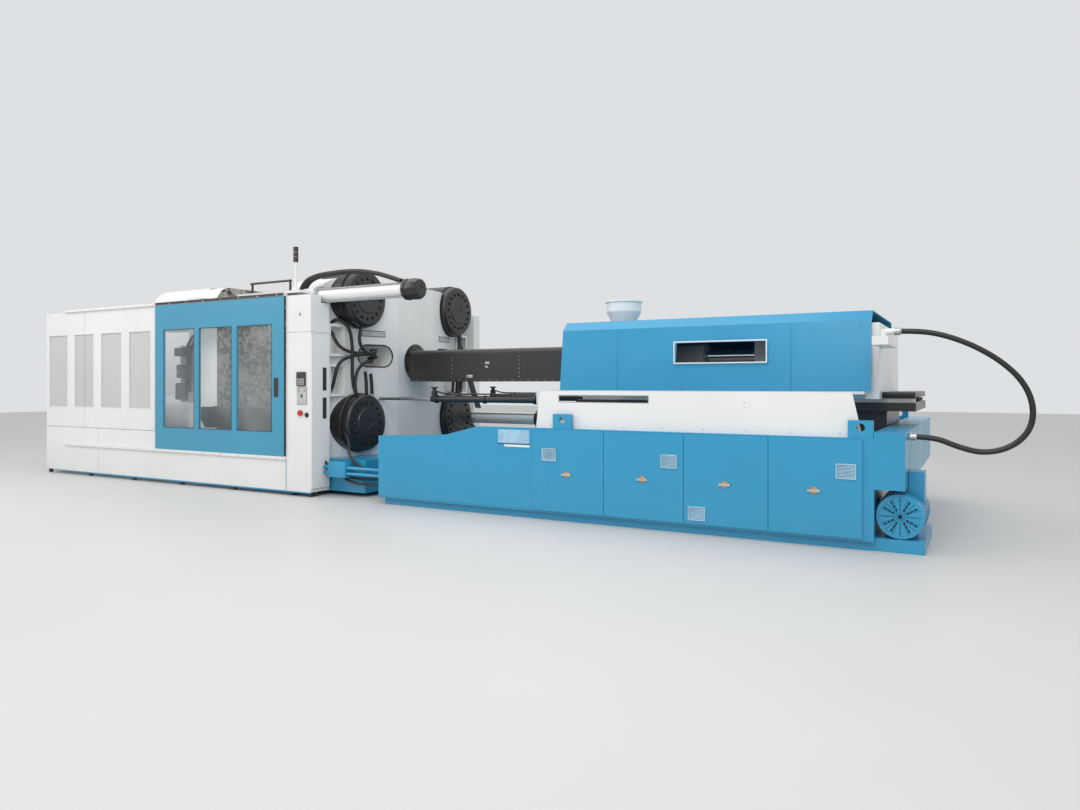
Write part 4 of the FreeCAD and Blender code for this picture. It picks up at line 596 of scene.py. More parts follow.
# ---------------------------------------------------------------- hose loop
LOOP = [(6.900, 2.120), (7.090, 2.120), (7.320, 2.078), (7.570, 1.972), (7.800, 1.822), (7.985, 1.625),
        (8.070, 1.390), (8.035, 1.160), (7.870, 1.000), (7.650, 0.948), (7.440, 1.005), (7.260, 1.085),
        (7.0955, 1.085)]


class MACHINE_OT_hose_loop(FittingOperator, Operator):
    """Hang the two oil hoses between the carriage and the end of the base"""
    bl_idname = "machine.hose_loop"
    bl_label = "Hose loop"

    def build(self, sizes):
        for name, y in (("outer", -1.731), ("inner", -1.669)):
            route = [(x, y, z) for x, z in LOOP]
            mesh = hose_mesh(f"hose_{name}", route, sizes.loop_hose / 2, resolution=8)
            hose = bpy.data.objects.new(f"hose_{name}", mesh)
            bpy.context.scene.collection.objects.link(hose)
            mesh.materials.clear()
            mesh.materials.append(FINISHES["rubber"])
            mesh.shade_smooth()
            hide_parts(f"loop_hose_{name}")
            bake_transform(hose)
            top = self.ferrule(f"hose_{name}_ferrule_top", (LOOP[0][0], y, LOOP[0][1]), "X", "carriage")
            foot = self.ferrule(f"hose_{name}_ferrule_foot", (LOOP[-1][0], y, LOOP[-1][1]), "X", FRAME_BODY)
            self.path(route)

    def path(self, route):
        """Points along the hose's middle, read from the same curve."""
        curve = bpy.data.curves.new("loop_path", "CURVE")
        curve.dimensions = "3D"
        spline = curve.splines.new("NURBS")
        spline.points.add(len(route) - 1)
        for target, point in zip(spline.points, route):
            target.co = (*point, 1)
        spline.order_u = 3
        spline.use_endpoint_u = True
        spline.resolution_u = 8
        holder = bpy.data.objects.new("loop_path", curve)
        bpy.context.scene.collection.objects.link(holder)
        points = [tuple(v.co) for v in baked(holder).vertices]
        bpy.data.objects.remove(holder)
        return points

    def ferrule(self, name, centre, axis, body):
        """A crimped sleeve with two grooves and a swivel nut, round the hose's end."""
        bm = bmesh.new()
        turned(bm, centre, axis,
               [(-0.004, 0.0256), (-0.004, 0.033), (0.0, 0.036), (0.018, 0.036), (0.021, 0.032),
                                  (0.026, 0.032), (0.029, 0.036), (0.046, 0.036), (0.049, 0.032),
                                  (0.054, 0.032), (0.058, 0.034), (0.066, 0.0256)], 32)
        if body == FRAME_BODY:
            bmesh.ops.transform(bm, matrix=Matrix.Translation((2 * centre[0], 0,
                                                               0)) @ Matrix.Diagonal((-1, 1, 1, 1)),
                                verts=bm.verts)
        return from_bm(name, bm, "zinc", body)


# ---------------------------------------------------------------- clamp guards
class MACHINE_OT_guard_panels(FittingOperator, Operator):
    """Window gaskets, panel joints and screws on the clamp guards"""
    bl_idname = "machine.guard_panels"
    bl_label = "Guard panels"

    def build(self, sizes):
        gaskets = bmesh.new()
        joints = bmesh.new()
        for wall in (NEAR_WALL, -NEAR_WALL):
            out = math.copysign(1, wall)
            depth = sorted((wall - 0.001 * out, wall + sizes.proud * out))
            for left, right in GUARD_WINDOWS:
                frame_strip(gaskets, (left, 0, GUARD_WINDOW_Z[0]), (right, 0, GUARD_WINDOW_Z[1]),
                            sizes.gasket, "Y", depth)
            thin = sorted((wall - 0.001 * out, wall + 0.0015 * out))
            for x in (-6.02, -4.07):
                block(joints, (x, thin[0], 0.846), (x + 0.004, thin[1], 2.86), 0.0004, 1)
            block(joints, (-7.185, thin[0], 0.836), (-4.045, thin[1], 0.846), 0.0004, 1)
            block(joints, (-5.62, thin[0], 0.08), (-5.616, thin[1], 0.836), 0.0004, 1)
        from_bm("guard_window_gaskets", gaskets, "white", FRAME_BODY)
        from_bm("guard_panel_joints", joints, "dark_joint_and_shade_white", FRAME_BODY)
        screw = bmesh.new()
        turned(screw, (0, 0, 0), "-Y", [(0, 0), (0, 0.009), (0.003, 0.009), (0.0045, 0.006), (0.0045, 0)], 16)
        rows = [{"Count": 9, "Start": (-7.10, NEAR_WALL, z), "Step": (0.37, 0, 0)} for z in (0.10, 0.80, 0.88,
                                                                                             2.83)]
        screws = repeated(screw, "zinc", rows)
        piece("guard_panel_screws", screws, "zinc", FRAME_BODY)


class MACHINE_OT_guard_folds(FittingOperator, Operator):
    """Folded top flanges, inner stiffeners and blue foot strips of the guards"""
    bl_idname = "machine.guard_folds"
    bl_label = "Guard folds"

    def build(self, sizes):
        bm = bmesh.new()
        for wall in (-GUARD_INNER, GUARD_INNER):
            inner = wall - math.copysign(0.05, wall)
            block(bm, (-7.16, min(wall, inner), 2.855), (-4.06, max(wall, inner), 2.868), 0.002)
        block(bm, (-7.16, -2.06, 2.855), (-7.11, 2.06, 2.868), 0.002)
        from_bm("guard_top_folds", bm, "white", FRAME_BODY)
        kick = bmesh.new()
        for wall in (NEAR_WALL, -NEAR_WALL):
            inner = wall - math.copysign(0.028, wall)
            block(kick, (-6.95, min(wall, inner), 0.048), (-0.60, max(wall, inner), 0.0715), 0.002)
        from_bm("guard_kick_strips", kick, "blue", FRAME_BODY)
        stiffeners = bmesh.new()
        for wall in (-GUARD_INNER, GUARD_INNER):
            inner = wall - math.copysign(0.035, wall)
            for x in (-6.43, -5.645, -4.86):
                block(stiffeners, (x - 0.015, min(wall, inner), 0.9), (x + 0.015, max(wall, inner), 2.8),
                      0.004)
        from_bm("guard_stiffeners", stiffeners, "white", FRAME_BODY)


# ---------------------------------------------------------------- sliding doors
class MACHINE_OT_sliding_doors(FittingOperator, Operator):
    """Window gaskets, edge seals and recessed pulls of the two sliding doors"""
    bl_idname = "machine.sliding_doors"
    bl_label = "Sliding doors"

    def build(self, sizes):
        for body, side in (("front_door", -1), ("rear_door", 1)):
            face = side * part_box("rear_door")[1].y
            self.gaskets(body, face, side, sizes)
            self.seals(body, side)
            self.handle(body, face, side)

    def gaskets(self, body, face, side, sizes):
        bm = bmesh.new()
        for left, right in DOOR_WINDOWS:
            for plane in (face, face - side * 0.029):
                depth = sorted((plane - 0.002, plane + 0.002))
                frame_strip(bm, (left, 0, DOOR_WINDOW_Z[0]), (right, 0, DOOR_WINDOW_Z[1]), sizes.gasket / 2,
                            "Y", depth, 0.001)
        from_bm(f"{body}_gaskets", bm, "gasket", body)

    def seals(self, body, side):
        """Rubber seals down both edges."""
        bm = bmesh.new()
        face = side * 2.1505
        for x in (-4.010, -1.076):
            block(bm, (x - 0.004, face - 0.011, 0.57), (x + 0.004, face + 0.011, 2.85), 0.003)
        from_bm(f"{body}_edge_seals", bm, "gasket", body)

    def handle(self, body, face, side):
        """A recessed pull near the door's closing edge: a rim and a dark dish."""
        rim = bmesh.new()
        depth = sorted((face - 0.001, face + side * 0.003))
        frame_strip(rim, (-1.27, 0, 1.42), (-1.20, 0, 1.68), 0.010, "Y", depth, 0.001)
        from_bm(f"{body}_pull_rim", rim, "keypad", body)
        dish = bmesh.new()
        back, front = sorted((face - 0.001, face + side * 0.0012))
        block(dish, (-1.27, back, 1.42), (-1.20, front, 1.68), 0.0004, 1)
        from_bm(f"{body}_pull_dish", dish, "gasket", body)


class MACHINE_OT_door_rails(FittingOperator, Operator):
    """Screws, track strips and end stops of the door rails"""
    bl_idname = "machine.door_rails"
    bl_label = "Door rails"

    def build(self, sizes):
        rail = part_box("door_rails")
        screw = hex_bolt(0.008, 0.006, "-Y")
        rows = [{"Count": 14, "Start": (rail[0].x + 0.12, rail[0].y, z),
                 "Step": (0.405, 0, 0)} for z in (0.536, 2.888)]
        piece("door_rail_screws", repeated(screw, "zinc", rows), "zinc", FRAME_BODY)
        tracks = bmesh.new()
        for low_y, high_y in ((-2.1645, -2.10), (2.10, 2.1645)):
            block(tracks, (-4.006, low_y, 2.9085), (-1.08, high_y, 2.9135), 0.001, 1)
        for y in (-2.1655, 2.1645):
            block(tracks, (-4.006, y, 2.872), (-1.08, y + 0.001, 2.912), 0.0004, 1)
        from_bm("door_track_strips", tracks, "black", FRAME_BODY)
        stops = bmesh.new()
        for y in (-2.15, 2.15):
            for x in (rail[0].x + 0.02, rail[1].x - 0.02):
                turned(stops, (x, y, 2.872), "Z",
                       [(0, 0), (0, 0.012), (0.02, 0.012), (0.024, 0.008), (0.024, 0)], 20)
        from_bm("door_rail_stops", stops, "gasket", FRAME_BODY)


# ---------------------------------------------------------------- control column
class MACHINE_OT_column_fittings(FittingOperator, Operator):
    """Joints, recessed grips, keys, test button and lamp plate of the control column"""
    bl_idname = "machine.column_fittings"
    bl_label = "Control column"

    def build(self, sizes):
        self.joints()
        self.grips()
        self.keys()
        self.small_parts()

    def joints(self):
        bm = bmesh.new()
        face = COLUMN_FRONT
        block(bm, (-1.07, face - 0.0015, 2.338), (-0.58, face + 0.001, 2.344), 0.0004, 1)
        block(bm, (-0.5815, face + 0.001, 2.338), (-0.5785, -1.78, 2.344), 0.0004, 1)
        from_bm("column_joint", bm, "dark_joint_and_shade_white", FRAME_BODY)
        strip = bmesh.new()
        block(strip, (-1.074, face - 0.003, 0.080), (-1.062, face + 0.001, 0.512), 0.001, 1)
        from_bm("column_edge_strip", strip, "door_blue", FRAME_BODY)
        gap = bmesh.new()
        x = -0.5605
        frame_strip(gap, (0, -2.116, 0.124), (0, -1.789, 2.316), 0.004, "X", (x, x + 0.0016), 0.0004)
        from_bm("column_door_joint", gap, "dark_joint_and_shade_white", "column_door")

    def grips(self):
        """Two recessed grips on the column door: a rim, a dark dish and a finger bar."""
        rim = bmesh.new()
        dish = bmesh.new()
        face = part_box("column_door")[1].x
        for low, high in ((1.112, 1.399), (1.514, 1.830)):
            frame_strip(rim, (0, -1.915, low), (0, -1.855, high), 0.007, "X", (face - 0.001, face + 0.003),
                        0.001)
            block(dish, (face - 0.001, -1.915, low), (face + 0.0012, -1.855, high), 0.0004, 1)
            block(rim, (face, -1.892, low + 0.02), (face + 0.005, -1.878, high - 0.02), 0.002)
        from_bm("column_grip_rims", rim, "keypad", "column_door")
        from_bm("column_grip_dishes", dish, "gasket", "column_door")

    def keys(self):
        """Rows of raised keys and a blank window on the key panel."""
        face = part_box("operator_panel")[0].y
        key = bmesh.new()
        block(key, (-0.0105, -0.0025, -0.0075), (0.0105, 0.001, 0.0075), 0.002)
        rows = [{"Count": 5, "Start": (-0.816, face, z), "Step": (0.0285, 0, 0)} for z in (1.598, 1.622,
                                                                                           1.646, 1.670)]
        piece("column_keys", repeated(key, "plate", rows), "plate", FRAME_BODY)
        window = bmesh.new()
        block(window, (-0.826, face - 0.0015, 1.695), (-0.692, face + 0.001, 1.757), 0.0006, 1)
        from_bm("column_key_window", window, "lamp", FRAME_BODY)

    def small_parts(self):
        bm = bmesh.new()
        block(bm, (-0.812, COLUMN_FRONT - 0.004, 2.575), (-0.772, COLUMN_FRONT + 0.001, 2.615), 0.003)
        turned(bm, (-0.792, COLUMN_FRONT - 0.004, 2.595), "-Y",
               [(0, 0), (0, 0.012), (0.004, 0.012), (0.006, 0.009),
                                                                 (0.006, 0)], 24)
        from_bm("column_test_button", bm, "grey", FRAME_BODY)
        film = bmesh.new()
        block(film, (-0.850, -2.1350, 1.305), (-0.657, -2.1338, 1.555), 0.0004, 1)
        from_bm("column_plate_film", film, "plate", FRAME_BODY)
        rim = bmesh.new()
        frame_strip(rim, (-0.846, 0, 1.309), (-0.661, 0, 1.551), 0.004, "Y", (-2.1365, -2.1335), 0.0008)
        from_bm("column_plate_edge", rim, "zinc", FRAME_BODY)
        lamps = bmesh.new()
        for x in (-0.815, -0.700):
            turned(lamps, (x, -2.134, 1.505), "-Y",
                   [(0, 0), (0, 0.011), (0.004, 0.011), (0.008, 0.006), (0.0085, 0)], 24)
        from_bm("column_plate_lamps", lamps, "button", FRAME_BODY)


# ---------------------------------------------------------------- clamp cylinders and fixed platen
class MACHINE_OT_cylinder_covers(FittingOperator, Operator):
    """Covers and sleeves of the clamp cylinders, and heads and tie rods of the traverse cylinders"""
    bl_idname = "machine.cylinder_covers"
    bl_label = "Cylinder covers"

    def build(self, sizes):
        bm = bmesh.new()
        back, front, radius = -0.530, -0.365, 0.425
        for y, z in BAR_PLACES:
            outline = rounded_disc(radius, front - back - 0.012, sizes.cap_round)
            outline[-1] = (front - back - 0.012, 0.225)
            outline += [(front - back, 0.215), (front - back, 0.08), (front - back - 0.008, 0.07),
                        (front - back - 0.008, 0)]
            turned(bm, (back, y, z), "X", outline, 96)
        for y, z in TRAVERSE_PLACES:
            turned(bm, (TRAVERSE_END, y, z), "X", [
                (0.0, 0.086), (0.0, 0.140), (0.012, 0.150), (0.050, 0.150), (0.062, 0.135), (0.105, 0.135),
                (0.117, 0.148), (0.180, 0.148), (0.240, 0.135), (0.250, 0.120), (0.250, 0.05), (0.243, 0.045),
                (0.243, 0), (0.222, 0), (0.222, 0.086)], 10)
        covers = from_bm("cylinder_end_covers", bm, "black", FRAME_BODY, 30)
        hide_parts("cylinder_covers")
        rows = [{"Count": 16, "Start": (front - 0.0135, y, z), "Turn": (0, math.pi / 2, 0), "Radius": 0.300,
                 "Step": (0, 0, 0)}
                for y, z in BAR_PLACES]
        piece("cylinder_cover_bolts", repeated(hex_bolt(sizes.bolt, 0.026, "X"), "black", rows), "black",
              FRAME_BODY)
        self.sleeves(back)
        self.tie_rods()

    def sleeves(self, back):
        """Black sleeves round the bosses, from inside the platen to the covers."""
        bm = bmesh.new()
        start = -0.998
        for y, z in BAR_PLACES:
            turned(bm, (start, y, z), "X",
                   [(0, 0.4402), (0, 0.446), (back - start, 0.446), (back - start + 0.006, 0.440),
                                            (back - start + 0.006,
                                             0.4252), (back - start, 0.4252), (back - start, 0.4402)], 96)
        from_bm("cylinder_boss_sleeves", bm, "black", FRAME_BODY)

    def tie_rods(self):
        """Tie rods with nuts along each traverse cylinder, and a collar where it meets the platen."""
        rods = bmesh.new()
        for y, z in TRAVERSE_PLACES:
            for i in range(4):
                angle = math.pi / 4 + i * math.pi / 2
                a, b = y + 0.118 * math.cos(angle), z + 0.118 * math.sin(angle)
                reach = TRAVERSE_END + 0.701
                turned(rods, (-0.700, a, b), "X", [(0, 0), (0, 0.011), (reach, 0.011), (reach, 0)], 16)
            turned(rods, (-0.735, y, z), "X",
                   [(0, 0.1035), (0, 0.142), (0.035, 0.142), (0.045, 0.132), (0.045, 0.1035)], 40)
        from_bm("traverse_tie_rods", rods, "grey", FRAME_BODY)


# Each run starts at its fitting and ends inside the near oval port or beside the near lower cap.
HOSE_RUNS = {
    "pocket_to_cap": [(-0.90, -1.60, 2.40), (-0.72, -1.60, 2.52), (-0.60, -1.52, 2.57), (-0.52, -1.42, 2.44),
                      (-0.50, -1.38, 2.21), (-0.50, -1.38, 1.93), (-0.50, -1.38, 1.66), (-0.48, -1.34, 1.45),
                      (-0.46, -1.24, 1.34)],
    "high_pocket": [(-0.90, -1.58, 2.44), (-0.70, -1.63, 2.42), (-0.62, -1.62, 2.25), (-0.58, -1.55, 2.14),
                    (-0.51, -1.41, 2.07), (-0.44, -1.10, 2.05), (-0.46, -0.85, 2.07), (-0.70, -0.75, 2.08)],
    "high_cap": [(-0.47, -1.16, 2.60), (-0.44, -1.24, 2.50), (-0.45, -1.30, 2.28), (-0.45, -1.23, 2.12),
                 (-0.42, -1.03, 2.03), (-0.45, -0.85, 2.01), (-0.70, -0.80, 2.00)],
    "low_pocket": [(-0.90, -1.58, 1.46), (-0.70, -1.63, 1.44), (-0.62, -1.63, 1.66), (-0.60, -1.60, 1.85),
                   (-0.56, -1.53, 1.96), (-0.49, -1.36, 2.03), (-0.42, -1.09, 2.06), (-0.45, -0.85, 2.12),
                   (-0.70, -0.75, 2.12)],
    "low_cap": [(-0.46, -1.30, 1.38), (-0.46, -1.36, 1.48), (-0.47, -1.36, 1.66), (-0.47, -1.29, 1.84),
                (-0.44, -1.12, 1.95), (-0.46, -0.92, 1.95), (-0.70, -0.85, 1.94)],
    "left_stub": [(-0.42, -1.16, 1.40), (-0.41, -1.17, 1.60), (-0.42, -1.19, 1.79)],
    "right_stub": [(-0.42, -1.04, 1.42), (-0.41, -1.05, 1.60), (-0.42, -1.07, 1.76)],
}


class MACHINE_OT_platen_hoses(FittingOperator, Operator):
    """Clamp hoses from the caps and pockets of the fixed platen into its oval ports"""
    bl_idname = "machine.platen_hoses"
    bl_label = "Platen hoses"

    def build(self, sizes):
        for mirror, name in ((1, "near"), (-1, "far")):
            for run, points in HOSE_RUNS.items():
                placed = [(x, y * mirror, z) for x, y, z in points]
                piece(f"clamp_hose_{name}_{run}", hose_mesh(run, placed, sizes.clamp_hose), "rubber",
                      FRAME_BODY)
            self.ports(name, mirror)
        self.pocket_frames()

    def ports(self, name, mirror):
        """Flanged unions where each hose starts."""
        bm = bmesh.new()
        for points in HOSE_RUNS.values():
            x, y, z = points[0]
            turned(bm, (x - 0.03, y * mirror, z), "X", [(0, 0), (0, 0.044), (0.025, 0.044), (0.025, 0.034),
                                                        (0.05, 0.034), (0.055, 0.028), (0.055, 0)], 12)
        from_bm(f"clamp_hose_unions_{name}", bm, "zinc", FRAME_BODY)

    def pocket_frames(self):
        """Plates round the pockets beside the caps, following the platen's slope."""
        bm = bmesh.new()
        for side in (-1, 1):
            for low, high in ((2.04, 2.45), (1.45, 1.86)):
                near, far = sorted((side * 1.444, side * 1.716))
                frame_strip(bm, (0, near, low + 0.004), (0, far, high - 0.004), 0.034, "X", (-0.81, -0.60),
                            0.003)
                block(bm, (-0.815, near - 0.002, low + 0.002), (-0.795, far + 0.002, high - 0.002), 0.001, 1)
        from_bm("platen_pocket_frames", bm, "white", FRAME_BODY)


class MACHINE_OT_platen_plate(FittingOperator, Operator):
    """Blank rating plates, lifting collars and hose-port rims on the fixed platen"""
    bl_idname = "machine.platen_plate"
    bl_label = "Platen fittings"

    def build(self, sizes):
        slope = math.atan2(0.22, 0.95)
        for side, name in ((-1, "near"), (1, "far")):
            bm = bmesh.new()
            block(bm, (-0.0025, -0.2175, -0.0415), (0.0025, 0.2175, 0.0415), 0.001, 1)
            y = side * 0.9115
            matrix = Matrix.Translation((platen_rear(y) + 0.002, y, 2.3735)) @ Matrix.Rotation(side * slope,
                                                                                               4, "Z")
            bmesh.ops.transform(bm, matrix=matrix, verts=bm.verts)
            from_bm(f"rating_plate_{name}", bm, "plate", FRAME_BODY)
            edge = bmesh.new()
            frame_strip(edge, (0, -0.2125, -0.0365), (0, 0.2125, 0.0365), 0.010, "X", (-0.003, 0.0035),
                        0.0008)
            bmesh.ops.transform(edge, matrix=matrix, verts=edge.verts)
            from_bm(f"rating_plate_edge_{name}", edge, "keypad", FRAME_BODY)
            rim = bmesh.new()
            self.oval_rim(rim, side)
            from_bm(f"hose_port_rim_{name}", rim, "gasket", FRAME_BODY)
        eyes = bmesh.new()
        for y in (-1.05, 1.05):
            turned(eyes, (-1.15, y, 3.178), "Z",
                   [(0, 0), (0, 0.045), (0.02, 0.045), (0.03, 0.032), (0.05, 0.028), (0.05, 0)],
                   24)
        from_bm("platen_lifting_collars", eyes, "zinc", FRAME_BODY)

    def oval_rim(self, bm, side):
        """A rubber edging round the oval port."""
        middle = side * 0.87
        centre = AXIS_HEIGHT + 0.0825
        half, radius, tube, steps = 0.145, 0.168, 0.011, 14
        path = []
        for end, start in ((1, -math.pi / 2), (-1, math.pi / 2)):
            for i in range(steps + 1):
                angle = start + math.pi * i / steps
                path.append((end * half + radius * math.cos(angle), radius * math.sin(angle)))
        rings = []
        for i, (a, b) in enumerate(path):
            before, after = Vector(path[i - 1]), Vector(path[(i + 1) % len(path)])
            direction = (after - before).normalized()
            outward = Vector((direction.y, -direction.x))
            ring = []
            for k in range(8):
                turn = 2 * math.pi * k / 8
                y = middle + a + outward.x * tube * math.cos(turn)
                z = centre + b + outward.y * tube * math.cos(turn)
                ring.append(bm.verts.new((platen_rear(y) + tube * math.sin(turn) * 0.8, y, z)))
            rings.append(ring)
        for i, ring in enumerate(rings):
            following = rings[(i + 1) % len(rings)]
            for k in range(8):
                bm.faces.new((ring[k], ring[(k + 1) % 8], following[(k + 1) % 8], following[k]))


class MACHINE_OT_hose_arch(FittingOperator, Operator):
    """Two black hoses from the top cover to the near traverse cylinder's head"""
    bl_idname = "machine.hose_arch"
    bl_label = "Hose arch"

    def build(self, sizes):
        for y, name in ((-1.88, "outer"), (-1.80, "inner")):
            route = [(-0.98, y - 0.06, 2.95), (-0.94, y - 0.04, 3.08), (-0.75, y, 3.17), (-0.40, y, 3.19),
                     (0.00, y, 3.19),
                     (0.35, y, 3.14), (0.62, y, 3.06), (0.83, y, 2.99)]
            piece(f"hose_arch_{name}", hose_mesh(name, route, 0.030), "rubber", FRAME_BODY)


BED_HOSES = [
    [(-1.00, -1.92, 0.62), (-0.80, -1.93, 0.58), (-0.55, -1.88, 0.40), (-0.20, -1.82, 0.28),
     (0.15, -1.80, 0.26), (0.62, -1.80, 0.30)],
    [(-1.00, -1.86, 0.66), (-0.70, -1.87, 0.60), (-0.40, -1.86, 0.34), (-0.05, -1.84, 0.20),
     (0.25, -1.84, 0.20), (0.62, -1.84, 0.22)],
    [(-0.45, -1.60, 0.90), (-0.30, -1.66, 0.78), (-0.20, -1.78, 0.58), (0.05, -1.82, 0.42),
     (0.35, -1.80, 0.40), (0.62, -1.78, 0.42)],
]


class MACHINE_OT_bed_pipework(FittingOperator, Operator):
    """Blue oil pipes and black hoses low down between the column and the base"""
    bl_idname = "machine.bed_pipework"
    bl_label = "Bed pipework"

    def build(self, sizes):
        for side, name in ((1, "near"), (-1, "far")):
            for number, route in enumerate(BED_HOSES, 1):
                placed = [(x, y * side, z) for x, y, z in route]
                piece(f"bed_hose_{name}_{number}", hose_mesh(name, placed, 0.019), "rubber", FRAME_BODY)
            pipes = bmesh.new()
            for z in (0.34, 0.42):
                turned(pipes, (-0.75, side * 1.90, z), "X", [(0, 0), (0, 0.022), (1.37, 0.022), (1.37, 0)],
                       20)
            back, front = sorted((side * 1.94, side * 1.80))
            block(pipes, (-0.45, back, 0.28), (-0.12, front, 0.50), 0.006)
            from_bm(f"bed_pipes_{name}", pipes, "blue", FRAME_BODY)


# ---------------------------------------------------------------- barrel shroud and nozzle
class MACHINE_OT_shroud_fittings(FittingOperator, Operator):
    """Bottom flange, rivets, blank labels and joint bands of the barrel shroud"""
    bl_idname = "machine.shroud_fittings"
    bl_label = "Shroud fittings"

    def build(self, sizes):
        low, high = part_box("barrel_shroud")
        flange = bmesh.new()
        for y in (low.y, high.y):
            block(flange, (low.x + 0.08, y - 0.006, low.z), (high.x - 0.02, y + 0.006, low.z + 0.03), 0.002)
        from_bm("shroud_flange", flange, "charcoal", "carriage")
        bands = bmesh.new()
        for x in (0.55, 1.75):
            for a, b in (((x, low.y - 0.003, low.z + 0.02), (x + 0.05, low.y + 0.002, high.z - 0.07)),
                         ((x, high.y - 0.002, low.z + 0.02), (x + 0.05, high.y + 0.003, high.z - 0.07)),
                         ((x, low.y + 0.075, high.z - 0.002), (x + 0.05, high.y - 0.075, high.z + 0.003))):
                block(bands, a, b, 0.001, 1)
        from_bm("shroud_joint_bands", bands, "charcoal", "carriage")
        rivet = bmesh.new()
        turned(rivet, (0, 0, 0), "-Y", [(0, 0), (0, 0.007), (0.003, 0.006), (0.004, 0)], 12)
        rows = [{"Count": 24, "Start": (low.x + 0.14, low.y - 0.006, low.z + 0.015), "Step": (0.135, 0, 0)}]
        rows += [{"Count": 6, "Start": (x + 0.025, low.y - 0.003, low.z + 0.07),
                  "Step": (0, 0, 0.06)} for x in (0.55, 1.75)]
        piece("shroud_rivets", repeated(rivet, "zinc", rows), "zinc", "carriage")
        labels = bmesh.new()
        for x, z, wide, tall in ((1.18, 1.90, 0.075, 0.035), (1.18, 1.845, 0.05, 0.028)):
            block(labels, (x, low.y - 0.0015, z), (x + wide, low.y + 0.001, z + tall), 0.0004, 1)
        from_bm("shroud_labels", labels, "plate", "carriage")


class MACHINE_OT_drool_strap(FittingOperator, Operator):
    """Dark heat-proof strap that hangs from the shroud, with its clamp plate"""
    bl_idname = "machine.drool_strap"
    bl_label = "Shroud strap"

    def build(self, sizes):
        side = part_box("barrel_shroud")[0].y - 0.008
        profile = [(0.90, 1.72), (0.93, 1.60), (0.98, 1.46), (1.03, 1.34), (1.06, 1.24)]
        bm = bmesh.new()
        rows = []
        for x, z in profile:
            rows.append([bm.verts.new((x + wide, side + thick, z)) for wide, thick in
                         ((-0.05, 0), (0.05, 0), (0.05, 0.006), (-0.05, 0.006))])
        for above, below in zip(rows, rows[1:]):
            for k in range(4):
                bm.faces.new((above[k], above[(k + 1) % 4], below[(k + 1) % 4], below[k]))
        bm.faces.new(rows[0])
        bm.faces.new(list(reversed(rows[-1])))
        from_bm("shroud_strap", bm, "gasket", "carriage", 60)
        plate = bmesh.new()
        block(plate, (0.84, side - 0.004, 1.69), (0.96, side + 0.008, 1.74), 0.002)
        from_bm("shroud_strap_plate", plate, "zinc", "carriage")


class MACHINE_OT_way_cover(FittingOperator, Operator):
    """Cover over the linear ways behind the carriage"""
    bl_idname = "machine.way_cover"
    bl_label = "Way cover"

    def build(self, sizes):
        bm = bmesh.new()
        block(bm, (6.701, -0.855, 1.452), (7.030, 0.855, 1.513), 0.012, 3)
        for y in (-0.855, 0.843):
            block(bm, (6.701, y, 1.447), (7.030, y + 0.012, 1.475), 0.003)
        from_bm("way_cover", bm, "black", "carriage")


class MACHINE_OT_heater_clamps(FittingOperator, Operator):
    """Clamp blocks with screws on the barrel heaters"""
    bl_idname = "machine.heater_clamps"
    bl_label = "Heater clamps"

    def build(self, sizes):
        screw = bmesh.new()
        block(screw, (-0.012, -0.02, -0.002), (0.012, 0.02, 0.012), 0.002)
        turned(screw, (0, 0, 0.012), "Z", [(0, 0), (0, 0.008), (0.010, 0.008), (0.010, 0)], 12)
        rows = [{"Count": 9, "Start": (x, 0, AXIS_HEIGHT + 0.166), "Step": (0.33, 0, 0)} for x in (-0.04,
                                                                                                   0.10)]
        piece("heater_clamp_screws", repeated(screw, "zinc", rows), "zinc", "carriage")


# ---------------------------------------------------------------- carriage cylinders
class MACHINE_OT_carriage_cylinders(FittingOperator, Operator):
    """Bands, a clipped pipe and a tee-handled valve on each carriage cylinder"""
    bl_idname = "machine.carriage_cylinders"
    bl_label = "Carriage cylinders"

    def build(self, sizes):
        for side, name in ((-1, "near"), (1, "far")):
            y = side * PULLER_SIDE
            bands = bmesh.new()
            for x in (0.60, 1.45, 2.28):
                turned(bands, (x, y, PULLER_HEIGHT), "X",
                       [(0, 0.0462), (0, 0.056), (0.004, 0.060), (0.041, 0.060), (0.045, 0.056),
                                                   (0.045, 0.0462)], 32)
            from_bm(f"carriage_cylinder_bands_{name}", bands, "black", "carriage")
            pipe = [(2.30, y, 1.455), (1.2, y, 1.455), (0.80, y, 1.455), (0.70, y, 1.47), (0.62, y, 1.50),
                    (0.585, y, 1.49)]
            piece(f"carriage_cylinder_pipe_{name}", hose_mesh(name, pipe, 0.011), "keypad", "carriage")
            valve = bmesh.new()
            block(valve, (0.545, y - 0.035, 1.43), (0.615, y + 0.035, 1.50), 0.006)
            turned(valve, (0.58, y, 1.50), "Z",
                   [(0, 0), (0, 0.014), (0.035, 0.014), (0.045, 0.010), (0.047, 0)], 20)
            turned(valve, (0.52, y, 1.549), "X",
                   [(0, 0), (0, 0.009), (0.003, 0.011), (0.117, 0.011), (0.12, 0.009), (0.12, 0)], 16)
            from_bm(f"carriage_valve_{name}", valve, "keypad", "carriage")
            band = bmesh.new()
            for x in (1.0, 1.9):
                block(band, (x - 0.01, y - 0.012, 1.42), (x + 0.01, y + 0.012, 1.47), 0.003)
            from_bm(f"carriage_pipe_clips_{name}", band, "keypad", "carriage")


